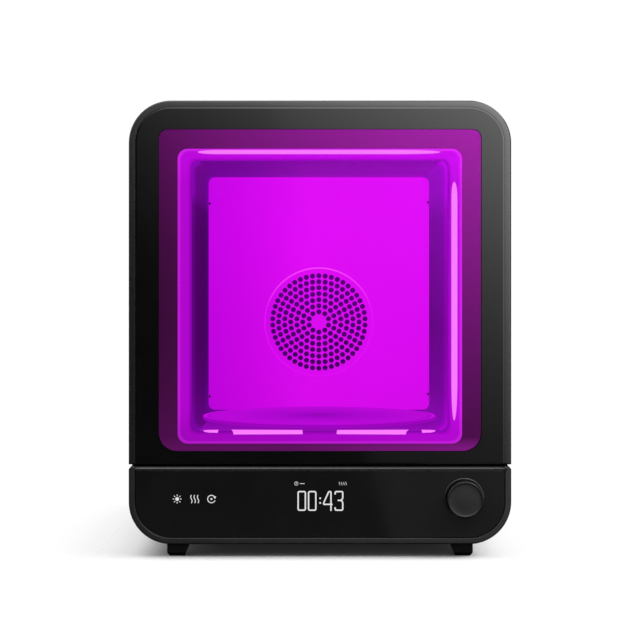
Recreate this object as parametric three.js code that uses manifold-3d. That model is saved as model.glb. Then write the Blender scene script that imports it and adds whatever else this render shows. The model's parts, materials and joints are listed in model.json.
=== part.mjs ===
// Desktop ultraviolet curing station: a lit chamber with a turntable behind a side-hung glass door,
// above a control pod with a display and a knob that turns and presses.
// Millimetres. +X is to the right seen from the front, +Y points to the back and +Z is up.
// The origin is the centre of the object's footprint, on the table.
import * as THREE from "three";
import { mergeVertices } from "three/addons/utils/BufferGeometryUtils.js";
import Module from "manifold-3d";

const wasm = await Module();
wasm.setup();

// ---- Driving dimensions -------------------------------------------------------------------------

const WIDTH = 275;
const HEIGHT = 328;
const FOOT_HEIGHT = 9;
const CORNER_RADIUS = 30.5;
const GAP = 0.3; // between pieces that touch
const CORNER_STEPS = 8;

// Stations from front to back.
const KNOB_TIP_Y = -146.5;
const FRONT_Y = -135.5;
const DOOR_BACK_Y = -113.5;
const BODY_FRONT_Y = -111.5;
const SHELL_BACK_Y = 140.5;
const COVER_FRONT_Y = 140.9;
const COVER_BACK_Y = 142.9;
const REAR_Y = 146.5;

// Casing.
const RIM = 4.5;
const SHELL_WALL = 2.5;
const POD_TOP_Z = 65.2;
const POD_CHAMFER = 2;
const DOOR_BOTTOM_Z = 66.3;
const PANEL_THICK = 2.5;
const VENTS = { count: 9, x: 40, pitch: 8, width: 3.2, z: [28, 62] };
const TRAY = { half: 104, y: [-108, 138], rail: 10, sheet: 2 };
const BOARD_POSTS = { radius: 3, height: 8.2, x: [-96, -24], y: [-36, 86] };
const FOOT = {
  x: 102,
  y: [-123.5, 120],
  front: [[-8.1, 8.7], [-4.3, 0], [6.2, 0], [8.1, 2.6], [8.1, 8.7]],
  flank: [[-8.1, 8.7], [-8.1, 2.6], [-6.2, 0], [6.2, 0], [8.1, 2.6], [8.1, 8.7]],
  depth: 8.2,
};

// Control pod.
const FASCIA_THICK = 3;
const FASCIA_LEDGE = 2.9;
const POD_HOLLOW = { half: 130, z: [16.5, 59], radius: 23 };
const SMALL_RADIUS = 0.8;

// Door.
const GLASS_SETBACK = 0.5;
const GLASS_THICK = 4;
const DOOR_BOTTOM_LIP = 0.9;
const DOOR_RING = 14;
const WINDOW_X = 116.2;
const WINDOW_Z = [75.5, 307.4];
const WINDOW_RADIUS = [13.5, 6.5];
const WINDOW_FLARE = 1.5;
const HINGE_X = -131.5;
const HINGE_Y = -119.5;
const HINGE_HEIGHTS = { lower: 100, upper: 270 };
const HINGE_EDGE_RADIUS = 6;
const PIN_RADIUS = 1.6;
const MAGNET_X = 130.5;
const MAGNET_HEIGHTS = { lower: 110, upper: 285 };

// Chamber.
const CHAMBER_X = 94.3;
const CHAMBER_Z = [87.6, 286.5];
const CHAMBER_BACK_Y = 104.5;
const MOUTH_X = 104;
const MOUTH_Z = [79.2, 294.8];
const LIP_BACK_Y = -101.5;
const SHEET = 1.5;
const LAMP_BACK_Y = -85.5; // the lamp boards stand between the lip and this plane

// Turntable.
const TURNTABLE_Y = -6;
const TURNTABLE_RADIUS = 92;
const DISC_Z = [89.2, 91.7];

// Knob.
const KNOB_X = 103.6;
const KNOB_Z = 42.3;
const KNOB_RADIUS = 12.9;
const KNOB_WELL_RADIUS = 11.4;
const KNOB_HUB_RADIUS = 5;
const KNOB_BORE_RADIUS = 3.3;
const KNOB_WELL_DEPTH = 3.6;
const BEZEL = { radius: 14.4, wall: 0.8, proud: 0.5, depth: 4.2 };
const ENCODER = { half: 6.5, y: [-129, -123.8], neck: 4.6, neckY: [-131.4, -128], bore: 3.4 };
const SHAFT = { radius: 3, end: -126.6 };
const PLUNGER = { radius: 2.8, y: [-126.3, -125] };

// Air.
const GRILLE_Z = 162.7;
const GRILLE_RADIUS = 46.3;
const GRILLE_RINGS = 4;
const DUCT = { radius: 52, y: [106.3, 134], wall: 1.6, inlet: 6 };
const HEATER = { radius: 41, bore: 20, y: [109, 114], bands: [[23, 29], [32, 38]] };
const IMPELLER = { hub: 13, hubY: [117, 130], axle: 2, axleY: [129, 138], reach: [12, 44], bladeY: 123.5 };
const CIRCULATION_MOTOR = { radius: 20, y: [134.3, 140.2], bore: 2.6, boreEnd: 139 };
const EXHAUST = { x: 70, z: 255, size: 60, bore: 28.5, y: [125.2, 140.2], strutY: [137.4, 140.2] };
const ROTOR = { hub: 12.5, hubY: [126.2, 136.6], reach: [11.5, 27], bladeY: 131.3 };
const GUARD_BANDS = [[9.5, 15], [17.5, 22], [24.5, 28.5]];

// Power.
const INLET = { x: -85, z: 40, width: 27.3, height: 19.8 };
const SWITCH = { x: -50, z: 40, width: 13, height: 19.4 };
const ROCKER_TILT = THREE.MathUtils.degToRad(7);
const ROCKER = {
  y: 140.5,
  half: 4.8,
  profile: [[-3, -4], [-0.5, -7.5], [3, -7.5], [1.8, 0], [3, 7.5], [-0.5, 7.5], [-3, 4]],
};
const INLET_PINS = [[-7, -1.5], [0, 2.5], [7, -1.5]];

// Pieces made of plain blocks, each block as its X, Y and Z spans.
const DISPLAY_BLOCKS = [
  [[-42, 42], [-131.6, -127.5], [27, 58]],
  [[-30, 30], [-128, -123.8], [30, 50]],
];
const CONTROL_BOARD_BLOCKS = [
  [[-62, 122], [-123.5, -121.9], [24, 57]],
  [[40, 56], [-122, -118], [34, 46]],
  [[-55, -45], [-122, -116.5], [30, 50]],
];
const SENSOR_BLOCKS = [
  [[118, 128], [-108.7, -103.7], [188, 208]],
  [[120, 126], [-104, -101.5], [186, 210]],
];
const POWER_SUPPLY_BLOCKS = [
  [[15, 95], [-30, 100], [14.2, 17]],
  [[17, 93], [-28, 98], [16.5, 20]],
  [[25, 55], [-10, 40], [19.5, 46]],
  [[62, 86], [-20, 20], [19.5, 50]],
  [[30, 85], [55, 90], [19.5, 40]],
];
const MAIN_BOARD_BLOCKS = [
  [[-100, -20], [-40, 90], [22.2, 23.8]],
  [[-90, -60], [-30, -10], [23.5, 33]],
  [[-50, -30], [0, 30], [23.5, 28]],
  [[-95, -80], [30, 75], [23.5, 38]],
  [[-60, -28], [60, 82], [23.5, 35]],
];

// ---- Finishes -----------------------------------------------------------------------------------

function finish(color, roughness, metalness = 0) {
  return new THREE.MeshStandardMaterial({ color, roughness, metalness });
}

const satinBlack = finish(0x242426, 0.45);
const rimGrey = finish(0x38383a, 0.4);
const glossBlack = finish(0x101011, 0.12);
const matteBlack = finish(0x18181a, 0.75);
const rubber = finish(0x161617, 0.9);
const steel = finish(0x9a9ca0, 0.35, 0.9);
const aluminium = finish(0xb4b6ba, 0.4, 0.8);
const violetSheet = finish(0x9c1fc4, 0.3, 0.3);
const tintedGlass = finish(0x3a0f48, 0.05);
const clearDisc = finish(0xc060e0, 0.1);
const boardGreen = finish(0x1d4a2c, 0.6);
const boardWhite = finish(0xd8d8d2, 0.5);
const copper = finish(0xa8663a, 0.4, 0.8);

// ---- Geometry helpers ---------------------------------------------------------------------------

// A closed three.js geometry as a manifold-3d solid whose faces point outwards.
function solid(geometry) {
  const loose = geometry.index ? geometry.toNonIndexed() : geometry.clone();
  loose.deleteAttribute("normal");
  loose.deleteAttribute("uv");
  const merged = mergeVertices(loose, 1e-4);
  const kept = [];
  const index = merged.index.array;
  for (let i = 0; i < index.length; i += 3) {
    const [a, b, c] = [index[i], index[i + 1], index[i + 2]];
    if (a !== b && b !== c && c !== a) kept.push(a, b, c);
  }
  const build = (triangles) =>
    new wasm.Manifold(
      new wasm.Mesh({
        numProp: 3,
        vertProperties: merged.attributes.position.array,
        triVerts: new Uint32Array(triangles),
      }),
    );
  const made = build(kept);
  return made.volume() < 0 ? build(kept.reverse()) : made;
}

const join = (...solids) => solids.reduce((all, next) => all.add(next));
const cut = (body, ...tools) => tools.reduce((left, tool) => left.subtract(tool), body);

function mesh(name, made, material) {
  const { vertProperties, triVerts } = made.getMesh();
  const geometry = new THREE.BufferGeometry();
  geometry.setAttribute("position", new THREE.Float32BufferAttribute(vertProperties, 3));
  geometry.setIndex(new THREE.Uint32BufferAttribute(triVerts, 1));
  geometry.computeVertexNormals();
  const node = new THREE.Mesh(geometry, material);
  node.name = name;
  return node;
}

// A box between two values on each axis. The values may come in either order.
function box(x, y, z) {
  const size = [x, y, z].map(([a, b]) => Math.abs(b - a));
  const middle = [x, y, z].map(([a, b]) => (a + b) / 2);
  return solid(new THREE.BoxGeometry(...size).translate(...middle));
}

const blocks = (spans) => join(...spans.map(([x, y, z]) => box(x, y, z)));

function arc(cx, cz, radius, from, to, steps) {
  return Array.from({ length: steps + 1 }, (_, i) => {
    const angle = from + ((to - from) * i) / steps;
    return new THREE.Vector2(cx + radius * Math.cos(angle), cz + radius * Math.sin(angle));
  });
}

const circle = (cx, cz, radius, steps) => arc(cx, cz, radius, 0, 2 * Math.PI, steps).slice(0, -1);

// A rectangle with rounded corners, anticlockwise from the bottom left. A radius of 0 is a sharp corner.
function outline(x, z, bottom, top = bottom, steps = CORNER_STEPS) {
  const centres = [
    [x[0] + bottom, z[0] + bottom, bottom],
    [x[1] - bottom, z[0] + bottom, bottom],
    [x[1] - top, z[1] - top, top],
    [x[0] + top, z[1] - top, top],
  ];
  return centres.flatMap(([cx, cz, radius], i) => {
    const start = Math.PI + (i * Math.PI) / 2;
    return radius === 0
      ? [new THREE.Vector2(cx, cz)]
      : arc(cx, cz, radius, start, start + Math.PI / 2, steps);
  });
}

// Arc-shaped windows between pairs of radii, with a spoke of the given width between neighbours.
function ringSectors(bands, count, spoke) {
  return bands.flatMap(([inner, outer]) =>
    Array.from({ length: count }, (_, i) => {
      const start = (2 * Math.PI * i) / count;
      const end = (2 * Math.PI * (i + 1)) / count;
      const edge = (radius) => spoke / 2 / radius;
      return [
        ...arc(0, 0, outer, start + edge(outer), end - edge(outer), 6),
        ...arc(0, 0, inner, end - edge(inner), start + edge(inner), 6),
      ];
    }),
  );
}

function extrude(points, depth, holes) {
  const shape = new THREE.Shape(points);
  holes.forEach((hole) => shape.holes.push(new THREE.Path(hole)));
  return new THREE.ExtrudeGeometry(shape, { depth, bevelEnabled: false });
}

// Outlines drawn in X and Z and extruded along Y, in X and Y along Z, and in Y and Z along X.
const alongY = (points, [y0, y1], holes = []) =>
  solid(extrude(points, y1 - y0, holes).rotateX(Math.PI / 2).translate(0, y1, 0));
const alongZ = (points, [z0, z1], holes = []) =>
  solid(extrude(points, z1 - z0, holes).translate(0, 0, z0));
const alongX = (points, [x0, x1]) =>
  solid(extrude(points, x1 - x0, []).rotateZ(Math.PI / 2).rotateY(Math.PI / 2).translate(x0, 0, 0));

const corners = (...pairs) => pairs.map(([a, b]) => new THREE.Vector2(a, b));

// A profile of [radius, height] pairs turned about the Y axis, or about the Z axis.
const turnY = (profile, steps = 32) => solid(new THREE.LatheGeometry(corners(...profile), steps));
const turnZ = (profile, steps = 32) =>
  solid(new THREE.LatheGeometry(corners(...profile), steps).rotateX(Math.PI / 2));

const rod = (radius, [low, high]) => [
  [0, low],
  [radius, low],
  [radius, high],
  [0, high],
];
const tube = (inner, outer, [low, high]) => [
  [inner, low],
  [outer, low],
  [outer, high],
  [inner, high],
  [inner, low],
];

// Loops of equal length, each at its own depth, skinned one to the next.
// With ring set the last loop joins the first; otherwise both ends are closed flat.
function loft(loops, ring) {
  const count = loops[0].points.length;
  const positions = loops.flatMap(({ points, y }) => points.flatMap((p) => [p.x, y, p.y]));
  const index = [];
  const spans = ring ? loops.length : loops.length - 1;
  for (let i = 0; i < spans; i++) {
    const [a, b] = [i * count, ((i + 1) % loops.length) * count];
    for (let k = 0; k < count; k++) {
      const next = (k + 1) % count;
      index.push(a + k, a + next, b + k, a + next, b + next, b + k);
    }
  }
  if (!ring) {
    const last = (loops.length - 1) * count;
    for (let k = 1; k < count - 1; k++) {
      index.push(0, k + 1, k, last, last + k, last + k + 1);
    }
  }
  const geometry = new THREE.BufferGeometry();
  geometry.setAttribute("position", new THREE.Float32BufferAttribute(positions, 3));
  geometry.setIndex(index);
  return solid(geometry);
}

const both = (half) => [-half, half];
const bodyZ = [FOOT_HEIGHT, HEIGHT];
const inset = ([low, high], by) => [low + by, high - by];

// ---- Casing -------------------------------------------------------------------------------------

function casing() {
  const group = new THREE.Group();
  const innerRadius = CORNER_RADIUS - SHELL_WALL;

  const shell = alongY(
    outline(both(WIDTH / 2), bodyZ, CORNER_RADIUS),
    [BODY_FRONT_Y, SHELL_BACK_Y],
    [outline(both(WIDTH / 2 - SHELL_WALL), inset(bodyZ, SHELL_WALL), innerRadius)],
  );
  group.add(mesh("housing_shell", shell, satinBlack));

  const panelEdge = SHELL_WALL + GAP;
  const panel = alongY(
    outline(
      both(WIDTH / 2 - panelEdge),
      [DOOR_BOTTOM_Z - GAP, HEIGHT - panelEdge],
      0,
      CORNER_RADIUS - panelEdge,
    ),
    [BODY_FRONT_Y, BODY_FRONT_Y + PANEL_THICK],
    [outline(both(MOUTH_X + GAP), [MOUTH_Z[0] - GAP, MOUTH_Z[1] + GAP], 7.5)],
  );
  const armSlots = Object.values(HINGE_HEIGHTS).map((z) =>
    box([-WIDTH / 2, HINGE_X + 3.3], [BODY_FRONT_Y - 1, BODY_FRONT_Y + 4], [z - 7.9, z + 7.9]),
  );
  group.add(mesh("front_panel", cut(panel, ...armSlots), matteBlack));

  const trayZ = FOOT_HEIGHT + SHELL_WALL + 0.4;
  const [trayFront, trayBack] = TRAY.y;
  const [sheetTop, railTop] = [trayZ + TRAY.sheet, trayZ + TRAY.rail];
  const tray = alongX(
    corners(
      [trayFront, trayZ],
      [trayBack, trayZ],
      [trayBack, railTop],
      [trayBack - TRAY.sheet, railTop],
      [trayBack - TRAY.sheet, sheetTop],
      [trayFront + TRAY.sheet, sheetTop],
      [trayFront + TRAY.sheet, railTop],
      [trayFront, railTop],
    ),
    both(TRAY.half),
  );
  const post = new THREE.CylinderGeometry(BOARD_POSTS.radius, BOARD_POSTS.radius, BOARD_POSTS.height, 16);
  post.rotateX(Math.PI / 2).translate(0, 0, sheetTop - 0.2 + BOARD_POSTS.height / 2);
  const posts = BOARD_POSTS.x.flatMap((x) =>
    BOARD_POSTS.y.map((y) => solid(post.clone().translate(x, y, 0))),
  );
  group.add(mesh("base_tray", join(tray, ...posts), steel));

  const slots = Array.from({ length: VENTS.count }, (_, i) => {
    const x = VENTS.x + VENTS.pitch * i;
    return box([x, x + VENTS.width], [COVER_FRONT_Y - 1, COVER_BACK_Y + 1], VENTS.z);
  });
  const cover = alongY(
    outline(both(WIDTH / 2), bodyZ, CORNER_RADIUS),
    [COVER_FRONT_Y, COVER_BACK_Y],
    [circle(EXHAUST.x, EXHAUST.z, EXHAUST.bore, 32)],
  );
  const openings = [INLET, SWITCH].map(({ x, z, width, height }) =>
    box(
      [x - width / 2 - 0.4, x + width / 2 + 0.4],
      [COVER_FRONT_Y - 1, COVER_BACK_Y + 1],
      [z - height / 2 - 0.4, z + height / 2 + 0.4],
    ),
  );
  group.add(mesh("rear_cover", cut(cover, ...slots, ...openings), satinBlack));
  return group;
}

// One tapered foot, upright on its outer side and slanted on its inner side.
function foot(name, side, y) {
  const front = alongY(corners(...FOOT.front.map(([x, z]) => [x * side, z])), both(FOOT.depth));
  const flank = alongX(corners(...FOOT.flank), both(FOOT.depth));
  const made = mesh(name, front.intersect(flank), rubber);
  made.position.set(side * FOOT.x, y, 0);
  return made;
}

// ---- Control pod --------------------------------------------------------------------------------

function controlPod() {
  const group = new THREE.Group();
  const backY = BODY_FRONT_Y - GAP;
  const half = WIDTH / 2;
  const lower = outline(both(half), [FOOT_HEIGHT, POD_TOP_Z], CORNER_RADIUS, 0);
  const lowerArcs = lower.slice(0, -2);
  const front = [
    ...lowerArcs,
    ...corners(
      [half, POD_TOP_Z - POD_CHAMFER],
      [half - POD_CHAMFER, POD_TOP_Z],
      [POD_CHAMFER - half, POD_TOP_Z],
      [-half, POD_TOP_Z - POD_CHAMFER],
    ),
  ];
  const flank = corners(
    [FRONT_Y, 0],
    [backY, 0],
    [backY, POD_TOP_Z],
    [FRONT_Y + POD_CHAMFER, POD_TOP_Z],
    [FRONT_Y, POD_TOP_Z - POD_CHAMFER],
  );
  const block = alongY(front, [FRONT_Y, backY]).intersect(alongX(flank, both(half + 1)));
  const pocketZ = [FOOT_HEIGHT + RIM, POD_TOP_Z - FASCIA_LEDGE];
  const fasciaBack = FRONT_Y + GLASS_SETBACK + FASCIA_THICK;
  const ledgeY = fasciaBack + GAP;
  const pocket = alongY(
    outline(both(half - RIM), pocketZ, CORNER_RADIUS - RIM, SMALL_RADIUS),
    [FRONT_Y - 1, ledgeY],
  );
  const hollow = alongY(
    outline(both(POD_HOLLOW.half), POD_HOLLOW.z, POD_HOLLOW.radius, SMALL_RADIUS),
    [FRONT_Y - 1, backY + 1],
  );
  group.add(mesh("control_pod", cut(block, pocket, hollow), rimGrey));

  const fascia = alongY(
    outline(both(half - RIM - GAP), inset(pocketZ, GAP), CORNER_RADIUS - RIM - GAP, 0.5),
    [FRONT_Y + GLASS_SETBACK, fasciaBack],
    [circle(KNOB_X, KNOB_Z, BEZEL.radius + GAP, 40)],
  );
  group.add(mesh("control_fascia", fascia, glossBlack));
  group.add(mesh("display_module", blocks(DISPLAY_BLOCKS), matteBlack));
  group.add(mesh("control_board", blocks(CONTROL_BOARD_BLOCKS), boardGreen));
  return group;
}

function knob() {
  const group = new THREE.Group();
  group.position.set(KNOB_X, 0, KNOB_Z);

  const bezelY = [FRONT_Y - BEZEL.proud, FRONT_Y + BEZEL.depth];
  const bezel = turnY(tube(BEZEL.radius - BEZEL.wall, BEZEL.radius, bezelY), 40);
  group.add(mesh("knob_bezel", bezel, steel));

  const encoder = cut(
    join(
      box(both(ENCODER.half), ENCODER.y, both(ENCODER.half)),
      turnY(rod(ENCODER.neck, ENCODER.neckY), 20),
    ),
    turnY(rod(ENCODER.bore, [ENCODER.neckY[0] - 1, ENCODER.y[1] + 1]), 20),
  );
  group.add(mesh("encoder_body", encoder, steel));

  const tip = KNOB_TIP_Y;
  const openEnd = FRONT_Y + 1.5;
  const wellFloor = tip + KNOB_WELL_DEPTH;
  const cap = turnY(
    [
      [0, tip + 1.4],
      [5, tip + 1.2],
      [8.5, tip + 0.6],
      [10.8, tip],
      [12, tip + 0.3],
      [12.7, tip + 1.1],
      [KNOB_RADIUS, tip + 2],
      [KNOB_RADIUS, openEnd],
      [KNOB_WELL_RADIUS, openEnd],
      [KNOB_WELL_RADIUS, wellFloor],
      [KNOB_HUB_RADIUS, wellFloor],
      [KNOB_HUB_RADIUS, openEnd - 0.5],
      [KNOB_BORE_RADIUS, openEnd - 0.5],
      [KNOB_BORE_RADIUS, wellFloor],
      [0, wellFloor],
    ],
    28,
  );
  group.add(mesh("knob_cap", cap, satinBlack));
  group.add(mesh("knob_shaft", turnY(rod(SHAFT.radius, [wellFloor + GAP, SHAFT.end]), 20), steel));
  group.add(mesh("knob_plunger", turnY(rod(PLUNGER.radius, PLUNGER.y), 16), boardWhite));
  return group;
}

// ---- Door ---------------------------------------------------------------------------------------

function door() {
  const group = new THREE.Group();
  const half = WIDTH / 2;
  const ledgeY = FRONT_Y + GLASS_SETBACK + GLASS_THICK + GAP;

  const block = alongY(
    outline(both(half), [DOOR_BOTTOM_Z, HEIGHT], 0, CORNER_RADIUS),
    [FRONT_Y, DOOR_BACK_Y],
  );
  const pocketZ = [DOOR_BOTTOM_Z + DOOR_BOTTOM_LIP, HEIGHT - RIM];
  const pocketRadius = CORNER_RADIUS - RIM;
  const pocket = alongY(
    outline(both(half - RIM), pocketZ, 0, pocketRadius),
    [FRONT_Y - 1, ledgeY],
  );
  const ringX = half - DOOR_RING;
  const ringZ = [DOOR_BOTTOM_Z + RIM, HEIGHT - DOOR_RING];
  const ringRadius = CORNER_RADIUS - DOOR_RING;
  const middle = alongY(
    outline(both(ringX), ringZ, 0, ringRadius),
    [FRONT_Y - 1, DOOR_BACK_Y + 1],
  );
  // The rear left edge is round about the hinge pin, so that it swings clear of the body.
  const edge = cut(
    box([-half - 1, HINGE_X], [HINGE_Y, DOOR_BACK_Y + 1], [0, HEIGHT]),
    turnZ(rod(HINGE_EDGE_RADIUS, [-1, HEIGHT + 1]), 32).translate([HINGE_X, HINGE_Y, 0]),
  );
  const hingeCuts = Object.values(HINGE_HEIGHTS).flatMap((z) => [
    box([-half - 1, -125], [-126, DOOR_BACK_Y + 1], [z - 8, z + 8]),
    turnZ(rod(PIN_RADIUS + 0.4, [z - 14.5, z + 14.5]), 16).translate([HINGE_X, HINGE_Y, 0]),
  ]);
  const magnetCuts = Object.values(MAGNET_HEIGHTS).map((z) =>
    turnY(rod(4.3, [DOOR_BACK_Y - 4.6, DOOR_BACK_Y + 1]), 20).translate([MAGNET_X, 0, z]),
  );
  const grip = alongX(
    corners([-121.5, 169], [-121.5, 221], [-117.5, 225], [-112, 225], [-112, 165], [-117.5, 165]),
    [127.5, half + 1],
  );
  const frame = cut(block, pocket, middle, edge, grip, ...hingeCuts, ...magnetCuts);
  group.add(mesh("door_frame", frame, rimGrey));

  const glass = alongY(
    outline(both(half - RIM - GAP), inset(pocketZ, GAP), 0, pocketRadius - GAP),
    [FRONT_Y + GLASS_SETBACK, FRONT_Y + GLASS_SETBACK + GLASS_THICK],
  );
  group.add(mesh("door_glass", glass, tintedGlass));

  const innerBackY = DOOR_BACK_Y - 0.5;
  const carrier = alongY(
    outline(both(ringX - GAP), inset(ringZ, GAP), 0, ringRadius - GAP),
    [ledgeY, innerBackY],
  );
  const windowAt = (grow) =>
    outline(
      both(WINDOW_X + grow),
      [WINDOW_Z[0] - grow, WINDOW_Z[1] + grow],
      WINDOW_RADIUS[0],
      WINDOW_RADIUS[1],
    );
  const window = loft(
    [
      { points: windowAt(-WINDOW_FLARE / 16), y: ledgeY - 1 },
      { points: windowAt(WINDOW_FLARE * 1.06), y: innerBackY + 1 },
    ],
    false,
  );
  group.add(mesh("door_inner_frame", cut(carrier, window), glossBlack));

  for (const [place, z] of Object.entries(MAGNET_HEIGHTS)) {
    const magnet = mesh(
      "door_magnet_" + place,
      turnY(rod(4, [DOOR_BACK_Y - 4.3, DOOR_BACK_Y - GAP]), 20),
      steel,
    );
    magnet.position.set(MAGNET_X, 0, z);
    group.add(magnet);
  }
  return group;
}

function doorHardware() {
  const group = new THREE.Group();
  for (const [place, z] of Object.entries(HINGE_HEIGHTS)) {
    const hinge = new THREE.Group();
    hinge.position.set(HINGE_X, HINGE_Y, z);
    const bracket = cut(
      join(
        turnZ(rod(4, both(7.5)), 20),
        box(both(3), [0, 13.1], both(7.5)),
        box([-3, 14.5], [10.8, 13.1], both(7.5)),
      ),
      turnZ(rod(PIN_RADIUS + 0.4, both(8)), 16),
    );
    hinge.add(mesh("hinge_bracket_" + place, bracket, steel));
    hinge.add(mesh("hinge_pin_" + place, turnZ(rod(PIN_RADIUS, both(14)), 16), steel));
    group.add(hinge);
  }
  for (const [place, z] of Object.entries(MAGNET_HEIGHTS)) {
    const plate = turnY(rod(5, [BODY_FRONT_Y - 1.4, BODY_FRONT_Y - GAP]), 20);
    const strike = mesh("strike_plate_" + place, plate, steel);
    strike.position.set(MAGNET_X - 1.2, 0, z);
    group.add(strike);
  }
  const seal = alongY(
    outline(both(122.2), [71.5, 313], 4, 15.5),
    [BODY_FRONT_Y - 2.2, BODY_FRONT_Y - GAP],
    [outline(both(118.4), [73.8, 309.1], 3, 11)],
  );
  group.add(mesh("door_seal", seal, rubber));
  group.add(mesh("door_sensor", blocks(SENSOR_BLOCKS), matteBlack));
  return group;
}

// ---- Chamber ------------------------------------------------------------------------------------

// The mouth of the chamber flares like a bell: share is 0 at the walls and 1 at the front panel.
function mouthLoop(share, y) {
  const blend = (a, b) => a + (b - a) * share;
  return {
    points: outline(
      both(blend(CHAMBER_X, MOUTH_X)),
      [blend(CHAMBER_Z[0], MOUTH_Z[0]), blend(CHAMBER_Z[1], MOUTH_Z[1])],
      blend(2.5, 7.2),
      blend(2.5, 7.2),
      5,
    ),
    y,
  };
}

function chamberLip() {
  const steps = 6;
  const depth = LIP_BACK_Y - BODY_FRONT_Y;
  const quarter = (start, reach) =>
    Array.from({ length: steps + 1 }, (_, i) => {
      const angle = (Math.PI / 2) * (i / steps);
      const share = start + (1 - start) * (1 - Math.cos(angle));
      return mouthLoop(share, LIP_BACK_Y - reach * Math.sin(angle));
    });
  const facing = quarter(0, depth);
  const hidden = quarter(0.2, depth - PANEL_THICK).reverse();
  return mesh("chamber_lip", loft([...facing, ...hidden], true), violetSheet);
}

function chamberWalls() {
  const group = new THREE.Group();
  const outerX = CHAMBER_X + SHEET;
  const wallY = [LAMP_BACK_Y, CHAMBER_BACK_Y - GAP];
  const wallZ = inset(CHAMBER_Z, GAP);
  for (const [place, side] of [["left", -1], ["right", 1]]) {
    const wall = box([side * CHAMBER_X, side * outerX], wallY, wallZ);
    group.add(mesh("chamber_wall_" + place, wall, violetSheet));
  }
  const ceiling = box(both(outerX), wallY, [CHAMBER_Z[1], CHAMBER_Z[1] + SHEET]);
  group.add(mesh("chamber_ceiling", ceiling, violetSheet));
  const floor = cut(
    box(both(outerX), [LIP_BACK_Y + GAP, wallY[1]], [CHAMBER_Z[0] - SHEET, CHAMBER_Z[0]]),
    turnZ(rod(6.8, [CHAMBER_Z[0] - 5, CHAMBER_Z[0] + 5]), 24).translate([0, TURNTABLE_Y, 0]),
  );
  group.add(mesh("chamber_floor", floor, violetSheet));
  const back = alongY(
    outline(both(outerX), [CHAMBER_Z[0] - SHEET, CHAMBER_Z[1] + SHEET], 0),
    [CHAMBER_BACK_Y, CHAMBER_BACK_Y + SHEET],
    [circle(0, GRILLE_Z, GRILLE_RADIUS - 2.8, 40)],
  );
  group.add(mesh("chamber_back_wall", back, violetSheet));
  return group;
}

// A strip of lamps seen along its length: z is the length, and the lamps face +X.
function lampBoard(length, lamps) {
  const pitch = length / lamps;
  const chips = Array.from({ length: lamps }, (_, i) => {
    const z = (i + 0.5) * pitch - length / 2;
    return box([1.4, 2.7], both(1.8), [z - 1.8, z + 1.8]);
  });
  return join(box([0, 1.6], both(7), both(length / 2)), ...chips);
}

// A comb of fins standing on a base, extruded along the strip of lamps that it cools.
function heatSink(length) {
  const teeth = [];
  for (let y = -7; y < 6; y += 3.6) {
    teeth.push([-13.6, y], [-13.6, y + 1.6], [-2.6, y + 1.6], [-2.6, y + 3.6]);
  }
  const comb = corners([0, -7], ...teeth.slice(0, -1).map(([x, y]) => [x, Math.min(y, 7)]), [0, 7]);
  comb.splice(-1, 1, ...corners([-2.6, 7], [0, 7]));
  return alongZ(comb, both(length / 2));
}

function lamps() {
  const group = new THREE.Group();
  const middleY = (LIP_BACK_Y + LAMP_BACK_Y) / 2 + 0.3;
  const middleZ = (CHAMBER_Z[0] + CHAMBER_Z[1]) / 2;
  const boardFace = CHAMBER_X + 3.7 + 1.6;
  const strips = [
    { place: "left", at: [-boardFace, middleY, middleZ], turn: 0, length: 183 },
    { place: "right", at: [boardFace, middleY, middleZ], turn: Math.PI, length: 183 },
    {
      place: "top",
      at: [0, middleY, CHAMBER_Z[1] + 5.7],
      turn: Math.PI / 2,
      length: 168,
    },
  ];
  for (const { place, at, turn, length } of strips) {
    const strip = new THREE.Group();
    strip.position.set(...at);
    strip.rotation.y = turn;
    strip.add(mesh("lamp_board_" + place, lampBoard(length, 10), boardWhite));
    const sink = mesh("heat_sink_" + place, heatSink(length), aluminium);
    sink.position.x = -GAP;
    strip.add(sink);
    group.add(strip);
  }
  return group;
}

// ---- Turntable ----------------------------------------------------------------------------------

function turntable() {
  const group = new THREE.Group();
  group.position.set(0, TURNTABLE_Y, 0);
  const [low, high] = DISC_Z;
  const disc = turnZ(
    [
      [5.3, low],
      [TURNTABLE_RADIUS - 0.6, low],
      [TURNTABLE_RADIUS, low + 0.6],
      [TURNTABLE_RADIUS, high - 0.6],
      [TURNTABLE_RADIUS - 0.6, high],
      [5.3, high],
      [5.3, low],
    ],
    48,
  );
  group.add(mesh("turntable_disc", disc, clearDisc));

  const flangeTop = low - GAP;
  const spindle = turnZ(
    [
      [0, 70.4],
      [3, 70.4],
      [3, flangeTop - 1],
      [11, flangeTop - 1],
      [11, flangeTop],
      [5, flangeTop],
      [5, high - GAP],
      [0, high - GAP],
    ],
    20,
  );
  group.add(mesh("turntable_spindle", spindle, steel));

  const floorBottom = CHAMBER_Z[0] - SHEET;
  const bush = turnZ(
    [
      [3.4, 83],
      [6.5, 83],
      [6.5, 84.4],
      [11, 84.4],
      [11, floorBottom - GAP],
      [6.5, floorBottom - GAP],
      [6.5, CHAMBER_Z[0] - 0.1],
      [3.4, CHAMBER_Z[0] - 0.1],
      [3.4, 83],
    ],
    16,
  );
  group.add(mesh("turntable_bearing", bush, copper));

  const posts = [-22, 22].map((x) =>
    turnZ(rod(3, [79, floorBottom - GAP]), 12).translate([x, 0, 0]),
  );
  const motor = cut(
    join(
      box(both(30), both(24), [66, 80]),
      turnZ(rod(21, [54, 67]), 28),
      turnZ(rod(9, [79, 82.6]), 20),
      ...posts,
    ),
    turnZ(rod(3.4, [70, 84]), 20),
  );
  group.add(mesh("turntable_motor", motor, steel));
  return group;
}

// ---- Air and heat -------------------------------------------------------------------------------

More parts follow.
